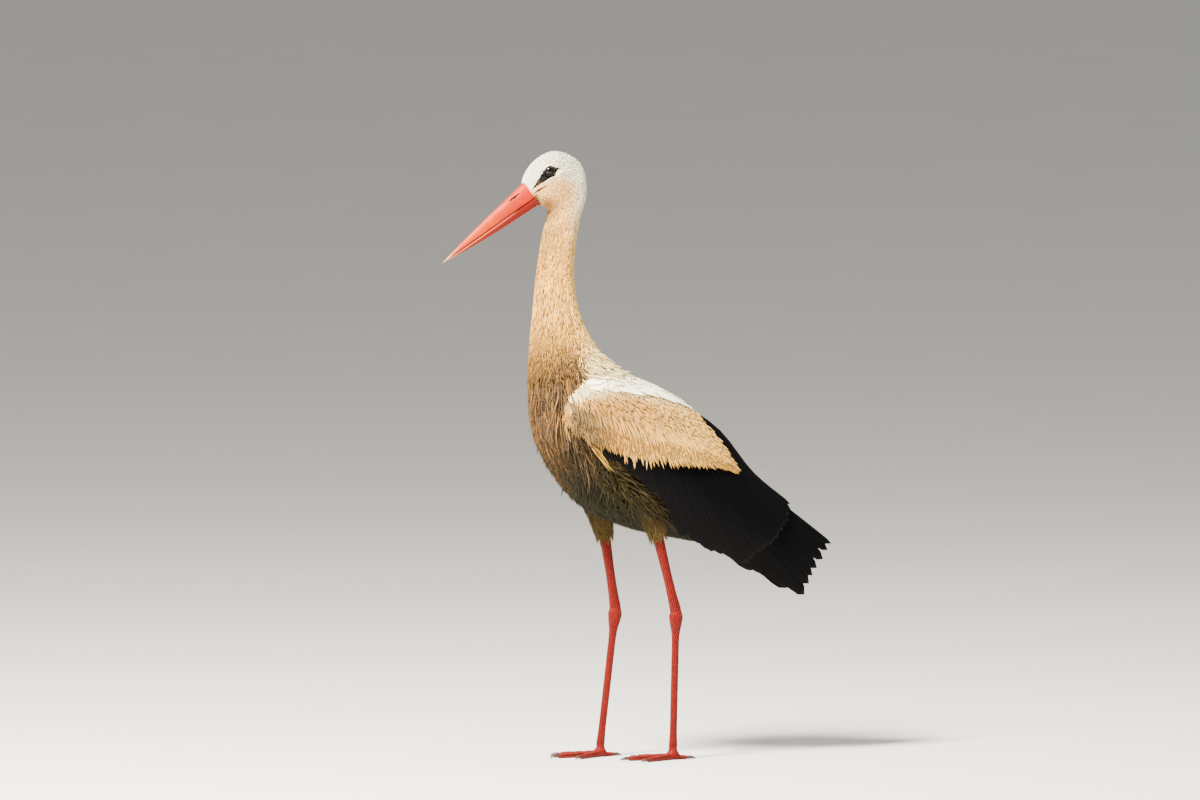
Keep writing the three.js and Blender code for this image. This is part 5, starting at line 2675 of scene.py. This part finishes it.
@dataclass
class Skin:
    """One skin over the head, neck, trunk, wing arms, legs and feet, without a seam."""

    voxel: float = 0.0026
    eye_patch: float = 0.019
    arm_lift: float = -0.004
    arm_half: float = 0.0045

    def arm(self, side: Side, wing: Surface, form: WingForm) -> Surface:
        """The flesh of a folded wing, thin towards its rear.

        Args:
            side: The bird's side.
            wing: The wing's sheet.
            form: The wing's form.

        Returns:
            A closed surface.
        """
        stations = np.linspace(0.15, 3.6, 60)
        turn = np.arange(40) / 40 * TURN * side.value
        low = form.covert_low(stations) + 0.12
        high = form.covert_high(stations) - 0.06
        height = (low + high)[:, None] / 2 + (high - low)[:, None] / 2 * np.sin(turn)
        points, normals = wing.read(np.tile(stations[:, None], (1, 40)), height)
        thick = self.arm_half * (1 - 0.5 * ramp(stations, 1.5, 3.6))[:, None]
        points = points + normals * (self.arm_lift + thick * np.cos(turn))[..., None]
        return Surface(points)

    def flesh(self, body: BodyForm, wings: dict[Side, Surface]) -> Piece:
        """All the forms under the coat, joined and remeshed into one.

        Args:
            body: The body's form.
            wings: The sheet of each folded wing.

        Returns:
            The piece.
        """
        parts = [net("skin", body.surface(share_of_coat=1.0), 300, 128)]
        for side, wing in wings.items():
            parts.append(net(f"arm_{side.word}", self.arm(side, wing, WingForm()), 60, 40))
        for leg in LEGS:
            limbs = ((leg.thigh(inward=0.009), 60), (leg.shank(), 60), (leg.tarsus(), 140))
            parts.extend(net("limb", limb, rings, 40) for limb, rings in limbs)
            parts.append(self.ball_of_foot(leg))
            parts.extend(net("toe", leg.toe(toe), 60, 32) for toe in TOES)
        deselect()
        for part in parts:
            part.select_set(True)
        bpy.context.view_layer.objects.active = parts[0]
        bpy.ops.object.join()
        skin = bpy.context.object
        apply(skin, "REMESH", mode="VOXEL", voxel_size=self.voxel, adaptivity=0.0)
        apply(skin, "SMOOTH", factor=0.5, iterations=2)
        return skin

    @staticmethod
    def ball_of_foot(leg: Leg) -> Piece:
        """The ball of the foot, low and a little longer than wide.

        Args:
            leg: The leg.

        Returns:
            The piece.
        """
        ball = sphere(32, 20)
        move(ball, vertices(ball) * [0.0088, 0.0102, 0.0082] + [leg.x, leg.foot[0], 0.0078] + SHIFT)
        return ball

    def refine(self, skin: Piece, eyes: list[EyeFrame]) -> None:
        """Divides the faces round the eyes, where the lids need a finer net.

        Args:
            skin: The whole skin.
            eyes: The axes of both eyes.
        """
        take(skin)
        centres = np.empty(len(skin.data.polygons) * 3, np.float32)
        skin.data.polygons.foreach_get("center", centres)
        centres = centres.reshape(-1, 3)
        near = np.zeros(len(centres), bool)
        for eye in eyes:
            near |= np.linalg.norm(centres - eye.centre, axis=1) < self.eye_patch
        bpy.ops.object.mode_set(mode="EDIT")
        bpy.ops.mesh.select_mode(type="FACE")
        bpy.ops.mesh.select_all(action="DESELECT")
        bpy.ops.object.mode_set(mode="OBJECT")
        skin.data.polygons.foreach_set("select", near)
        bpy.ops.object.mode_set(mode="EDIT")
        bpy.ops.mesh.subdivide(number_cuts=4)
        bpy.ops.object.mode_set(mode="OBJECT")

    def colours(self, points: Array, body: Surface) -> Array:
        """Linear colours at the skin's points.

        Args:
            points: The skin's points.
            body: The body's outline.

        Returns:
            One linear colour for each point.
        """
        u, v = np.meshgrid(np.linspace(0.2, 16.8, 160), np.arange(64) / 64, indexing="ij")
        net_points, _ = body.read(u, v)
        tree = KDTree(u.size)
        for index, point in enumerate(net_points.reshape(-1, 3)):
            tree.insert(point, index)
        tree.balance()
        nearest = np.array([tree.find(point)[1] for point in points])
        # The skin under the coat takes the plumage's colour darkened a tenth: painted shade under the
        # feathers.
        colour = MARKINGS.body(u.ravel()[nearest], v.ravel()[nearest], np.full(len(points), 0.4)) * 0.9
        bare = MARKINGS.face.distance(points)
        face = BareFace()
        toward_lore = ((points - SHIFT)[:, 1:] - face.eye) @ unit(np.array(face.lore) - face.eye)
        patch = blend(Tint.EYE_SKIN.linear, Tint.LORE.linear, ramp(toward_lore, 0.018, 0.024))
        colour = blend(colour, patch, 1 - ramp(bare, 0.0004, 0.0016))
        leg = 1 - ramp(points[:, 2], 0.340, 0.346)
        leg *= (points - SHIFT)[:, 1] < 0.10
        red = blend(Tint.LEG.linear, Tint.SOLE.linear, 1 - ramp(points[:, 2], 0.001, 0.004))
        return blend(colour, red, leg)

    def build(self, body: BodyForm, wings: dict[Side, Surface], material: Material) -> Piece:
        """Makes the skin.

        Args:
            body: The body's form.
            wings: The sheet of each folded wing.
            material: The finish.

        Returns:
            The piece.
        """
        outline = body.surface()
        skin = self.flesh(body, wings)
        eyes = [EyeFrame.at(side, outline) for side in Side]
        self.refine(skin, eyes)
        points = vertices(skin)
        for eye in eyes:
            points = Lids().shape(points, eye)
        points[:, 2] = np.maximum(points[:, 2], 0.0)
        move(skin, points)
        write_colour(skin, self.colours(points, outline))
        smooth(skin)
        nodes = ["head", "neck_upper", "neck_lower", "trunk"]
        for side in Side:
            nodes += [f"{part}_{side.word}" for part in ("shank", "tarsus", "foot")]
            nodes += [f"toe_{side.word}_{toe.name}" for toe in TOES]
        return settle(skin, material, Slot.LEGS, *nodes)


@dataclass
class Scales:
    """Plates of the bare legs: a net of small ones round shank and tarsus and broad ones over the toes."""

    plate: Vane = Vane(3, 3, widest=0.5, root_width=0.60, point=2.6, arch=0.07, ragged=0.04, rise=1.0)
    scute: Vane = Vane(3, 7, 0.4, root_width=0.90, point=5.0, thick=0.0007, arch=0.03, ragged=0.03, rise=1.0)
    pitch: float = 0.0034

    def limb(self, surface: Surface, start: float, seed: int) -> Growth:
        """Plates in a staggered net round a limb, from a place on it to just over its end.

        Args:
            surface: The limb's surface.
            start: Where they begin.
            seed: Where irregularities come from.

        Returns:
            The plates.
        """
        rng = np.random.default_rng(seed)
        steps = np.linspace(start, 0.97, 200)
        line = surface.read(steps, np.zeros(200))[0]
        run = run_of(line)
        rows = int(run[-1] / self.pitch)
        u, v = [], []
        for row in range(rows):
            place = np.interp((row + 0.5) / rows * run[-1], run, steps)
            ring = surface.read(np.full(24, place), np.arange(24) / 24)[0]
            girth = np.linalg.norm(np.roll(ring, 1, axis=0) - ring, axis=1).sum()
            count = max(6, round(girth / (self.pitch * 1.08)))
            turns = (np.arange(count) + 0.5 * (row % 2)) / count
            u.append(np.full(count, place) + rng.uniform(-0.1, 0.1, count) * self.pitch / run[-1])
            v.append(turns + rng.uniform(-0.1, 0.1, count) / count)
        size = self.pitch * 1.56, self.pitch * 1.22
        return self.lay(surface, np.concatenate(u), np.concatenate(v), *size, rng)

    def toe_plates(self, surface: Surface, seed: int) -> Growth:
        """Broad plates over the top of a toe, each lapping over the next.

        Args:
            surface: The toe's surface.
            seed: Where irregularities come from.

        Returns:
            The plates.
        """
        rng = np.random.default_rng(seed)
        length = np.linalg.norm(surface.points[-1].mean(0) - surface.points[0].mean(0))
        rows = int(length / 0.0032)
        places = (np.arange(rows) + 0.3) / rows * 0.93
        return self.lay(surface, places, np.full(rows, self.top_of(surface)), 0.0044, 0.0112, rng)

    @staticmethod
    def top_of(surface: Surface) -> float:
        """The turn at which a lying limb's top is."""
        middle = surface.points[len(surface.points) // 2]
        return float(np.argmax(middle[:, 2])) / len(middle)

    def lay(self, surface: Surface, u: Array, v: Array, length: float, width: float, rng: Chance) -> Growth:
        """Plates centred on given places.

        Args:
            surface: What they grow on.
            u: Middle of each plate along the limb.
            v: Middle of each plate round it.
            length: Length in metres.
            width: Width in metres.
            rng: Where irregularities come from.

        Returns:
            The plates.
        """
        count = len(u)
        heading = surface.lie(u, v)
        step_u, step_v = surface.toward(u, v, heading)
        tone = rng.uniform(0, 1, count)
        return Growth(
            surface, u - step_u * length * 0.5, v - step_v * length * 0.5, heading,
            np.full(count, length) * rng.uniform(0.92, 1.08, count),
            np.full(count, width) * rng.uniform(0.92, 1.08, count),
            np.full(count, -0.0001), np.full(count, 0.0001), np.zeros(count),
            blend(Tint.LEG.linear, Tint.LEG_DARK.linear, ramp(tone, 0.7, 1.0) * 0.5),
            tone,
        )

    def build(self, leg: Leg, material: Material) -> None:
        """Makes the plates of one leg, in a piece for its limb and one for its toes.

        Args:
            leg: The leg.
            material: The finish.
        """
        word, seed = leg.side.word, 200 + leg.side.value
        for part, surface, start in (("shank", leg.shank(), 0.18), ("tarsus", leg.tarsus(), 0.04)):
            mesh = VaneMesh(self.plate, np.random.default_rng(seed))
            growth = self.limb(surface, start, seed)
            settle(mesh.build(f"scales_{part}_{word}", growth), material, Slot.LEGS)
        for toe in TOES:
            mesh = VaneMesh(self.scute, np.random.default_rng(seed + 1))
            growth = self.toe_plates(leg.toe(toe), seed + 1)
            settle(mesh.build(f"scutes_{word}_{toe.name}", growth), material, Slot.LEGS)


# ------------------------------------------------------------------ studio


@dataclass
class Studio:
    """Pale floor, soft lights and the camera.

    Attributes:
        azimuth: Where the camera stands round the bird, in degrees.
        elevation: How high it stands, in degrees.
        distance: How far away it stands.
        across: Width of what it sees at the bird.
        aim_right: How far the middle of the view lies to the right of the modelling origin.
        aim_up: How far it lies above it, along the view's upright.
    """

    azimuth: float = 66.0
    elevation: float = 4.0
    distance: float = 40.0
    across: float = 1.8462
    aim_right: float = -0.0615
    aim_up: float = 0.5508

    def axes(self) -> tuple[Vector, Vector, Vector]:
        """Directions to the camera, to its right and up in its view.

        Returns:
            Three unit vectors.
        """
        turn, rise = math.radians(self.azimuth), math.radians(self.elevation)
        back = Vector((math.sin(turn) * math.cos(rise), -math.cos(turn) * math.cos(rise), math.sin(rise)))
        right = Vector((math.cos(turn), math.sin(turn), 0.0))
        return back, right, back.cross(right)

    def camera(self) -> None:
        """Makes the scene's camera."""
        back, right, up = self.axes()
        aim = Vector(SHIFT) + right * self.aim_right + up * self.aim_up
        data = bpy.data.cameras.new("camera")
        data.sensor_width = 36.0
        data.lens = data.sensor_width * self.distance / self.across
        data.clip_end = 200.0
        camera = put("camera", data)
        turned = Matrix((right, up, back)).transposed().to_4x4()
        camera.matrix_world = Matrix.Translation(aim + back * self.distance) @ turned
        bpy.context.scene.camera = camera

    def light(self, name: str, place: Triple, size: float, power: float, colour: Triple) -> None:
        """A soft square light that faces the bird, placed to the camera's right, up and towards it.

        Args:
            name: Its name.
            place: Metres right, up and towards the camera.
            size: The light's width.
            power: Its power in watts.
            colour: Its colour.
        """
        back, right, _ = self.axes()
        aim = Vector((0, 0, 0.5))
        data = bpy.data.lights.new(name, "AREA")
        data.size, data.energy, data.color = size, power, colour
        lamp = put(name, data)
        level = Vector((back.x, back.y, 0)).normalized()
        lamp.location = aim + right * place[0] + Vector((0, 0, place[1])) + level * place[2]
        lamp.rotation_euler = (lamp.location - aim).to_track_quat("Z", "Y").to_euler()

    def floor(self) -> None:
        """A wide pale floor."""
        deselect()
        bpy.ops.mesh.primitive_grid_add(x_subdivisions=96, y_subdivisions=96, size=240.0, location=(0, 0, 0))
        floor = bpy.context.object
        ground = vertices(floor)
        ground[:, :2] *= (np.abs(ground[:, :2]) / 120.0) ** 0.8
        reach = np.hypot(ground[:, 0], ground[:, 1])
        ground[:, 2] = 1.1 * ramp(reach, 5.0, 33.0) + 24.0 * np.clip((reach - 60.0) / 40.0, 0, None) ** 2
        move(floor, ground)
        smooth(floor)
        floor.name = "floor"
        material = bpy.data.materials.new("pale_floor")
        material.use_nodes = True
        shader = material.node_tree.nodes["Principled BSDF"]
        w = Wiring(material.node_tree)
        grain = w.noise(w.place(), 6.0, 4.0)
        w.feed(shader.inputs["Base Color"], w.mix(grain, (0.66, 0.66, 0.64), (0.70, 0.70, 0.68)))
        shader.inputs["Roughness"].default_value = 0.85
        floor.data.materials.append(material)

    def build(self) -> None:
        """Makes the studio."""
        self.camera()
        self.floor()
        world = bpy.data.worlds.new("studio")
        world.use_nodes = True
        sky = world.node_tree.nodes["Background"]
        sky.inputs["Color"].default_value = (1.0, 0.98, 0.95, 1)
        sky.inputs["Strength"].default_value = 0.5
        bpy.context.scene.world = world
        self.light("key", (-1.6, 3.0, 2.1), 1.0, 1430.0, (1.0, 0.92, 0.80))
        self.light("top", (0.6, 3.0, -0.6), 2.0, 60.0, (1.0, 0.97, 0.92))
        self.light("fill", (2.4, 0.9, 1.8), 2.4, 16.0, (0.95, 0.97, 1.0))


# ------------------------------------------------------------------ the whole bird


def grow_plumage(outline: Surface, wings: dict[Side, Surface]) -> None:
    """Grows every piece of plumage on its surface.

    Args:
        outline: The outline of the head, neck and trunk.
        wings: The sheet of each folded wing.
    """
    fine = FeatherFinish(
        "fine_feathers", 0.75, root_shade=0.28, barbs=9.0, barb_depth=0.06, soil=0.10, tone_range=0.10
    ).build()
    hair = FeatherFinish(
        "neck_feathers", 0.75, root_shade=0.42, barbs=10.0, barb_depth=0.06, tone_range=0.26, soil=0.14
    ).build()
    soft = FeatherFinish(
        "body_feathers", 0.80, root_shade=0.40, barbs=16.0, barb_depth=0.12, tone_range=0.24, soil=0.22,
        stain=(0.012, 0.010, 0.004), sheen=0.02,
    ).build()
    covert = FeatherFinish(
        "covert_feathers", 0.75, root_shade=0.42, barbs=14.0, barb_depth=0.10, tone_range=0.22, soil=0.3
    ).build()
    broad = FeatherFinish(
        "broad_feathers", 0.70, root_shade=0.30, barbs=42.0, barb_depth=0.07, shaft=0.10, tone_range=0.06,
        soil=0.12,
    ).build()
    black = FeatherFinish(
        "flight_feathers", 0.5, root_shade=0.10, tip_light=0.25, barbs=70.0, barb_depth=0.22, shaft=0.5,
        tone_range=0.3, soil=0.0, sheen=0.0, specular=0.04, edge=2.2,
    ).build()
    tiny = Vane(rows=3, root_width=0.5, widest=0.5, point=1.4, thick=0.00015, arch=0.10, ragged=0.08)
    lock = Vane(root_width=0.45, widest=0.5, point=1.15, thick=0.0002, arch=0.22, ragged=0.12)
    plume = Vane(rows=6, root_width=0.35, widest=0.45, point=1.05, thick=0.0003, arch=0.20, ragged=0.14)
    contour = Vane(root_width=0.5, widest=0.55, point=1.3, thick=0.0003, arch=0.14, ragged=0.2)
    tongue = Vane(root_width=0.5, widest=0.6, point=1.35, thick=0.0003, arch=0.13, ragged=0.16)
    slim = Slope(0.00288, 0.000432, 9.0, 12.5)
    for finish, coat in (
        (fine, HeadCoat("coat_face", Slot.WHITE, tiny, 5.6, 11, 0.10, span=(1.0, 2.9))),
        (fine, HeadCoat("coat_crown", Slot.WHITE, tiny, 5.6, 16, 0.10, span=(2.75, 5.7))),
        (hair, NeckCoat("coat_neck_upper", Slot.BUFF, lock, 7.0, 12, 0.11, sway=0.08, span=(4.95, 7.2))),
        (hair, NeckCoat("coat_neck_lower", Slot.BUFF, lock, 7.0, 17, 0.11, sway=0.08, span=(7.2, 9.4))),
        (covert, ShoulderCoat("coat_shoulders", Slot.WHITE, tongue, 6.0, 18, 0.2, 0.25, 0.12)),
        (hair, BreastCoat("coat_breast", Slot.BUFF, plume, 9.0, 13, 0.11, 0.18, 0.10)),
        (fine, TrunkCoat("coat_back", Slot.BUFF, contour, 6.2, 14, 0.24, 0.26, 0.22, sector=(0.05, 1.2))),
        (soft, TrunkCoat("coat_belly", Slot.BUFF, contour, 6.2, 19, 0.24, 0.26, 0.22, wide=slim)),
    ):
        coat.build(outline, finish)
    for leg in LEGS:
        word, seed = leg.side.word, 15 + leg.side.value
        coat = ThighCoat(f"coat_thigh_{word}", Slot.BUFF, plume, 7.0, seed, 0.16, 0.3, 0.12)
        coat.build(leg.thigh(), soft, f"thigh_{word}")
    for side, wing in wings.items():
        word, seed = side.word, 20 + side.value
        coat = CovertCoat(f"coat_wing_{word}", Slot.WHITE, tongue, 8.0, seed, unruly=0.2, sway=0.08)
        coat.build(wing, covert, f"wing_{word}")
        FringeCoat(f"coat_wing_edge_{word}", Slot.WHITE, tongue, seed=seed + 5).build(wing, covert)
        StrandCoat(f"coat_side_{word}", Slot.BUFF, plume, seed=seed + 9).build(wing, soft)
        Scapulars(side).build(wing, broad)
        FlightFeathers(side).build(wing, black)
    Tail().build(broad)


def main() -> None:
    """Builds the bird, then the studio round it."""
    logging.basicConfig(level=logging.INFO, format="%(name)s: %(message)s")
    body = BodyForm()
    outline = body.surface()
    wings = {side: WingForm().surface(side) for side in Side}
    Skin().build(body, wings, SkinFinish("skin", 0.5).build())
    Eyes().build(outline, EyeFinish("wet_eye", 0.12).build())
    Bill().build()
    claw_finish = ClawFinish("claw_horn", 0.45).build()
    scale_finish = ScaleFinish("leg_scales", 0.42).build()
    for leg in LEGS:
        Scales().build(leg, scale_finish)
        for toe in TOES:
            nail = net(f"nail_{leg.side.word}_{toe.name}", leg.claw(toe), 24, 20)
            settle(nail, claw_finish, Slot.CLAWS, f"claw_{leg.side.word}_{toe.name}")
    grow_plumage(outline, wings)
    Studio().build()
    deselect()


if __name__ == "__main__":
    main()
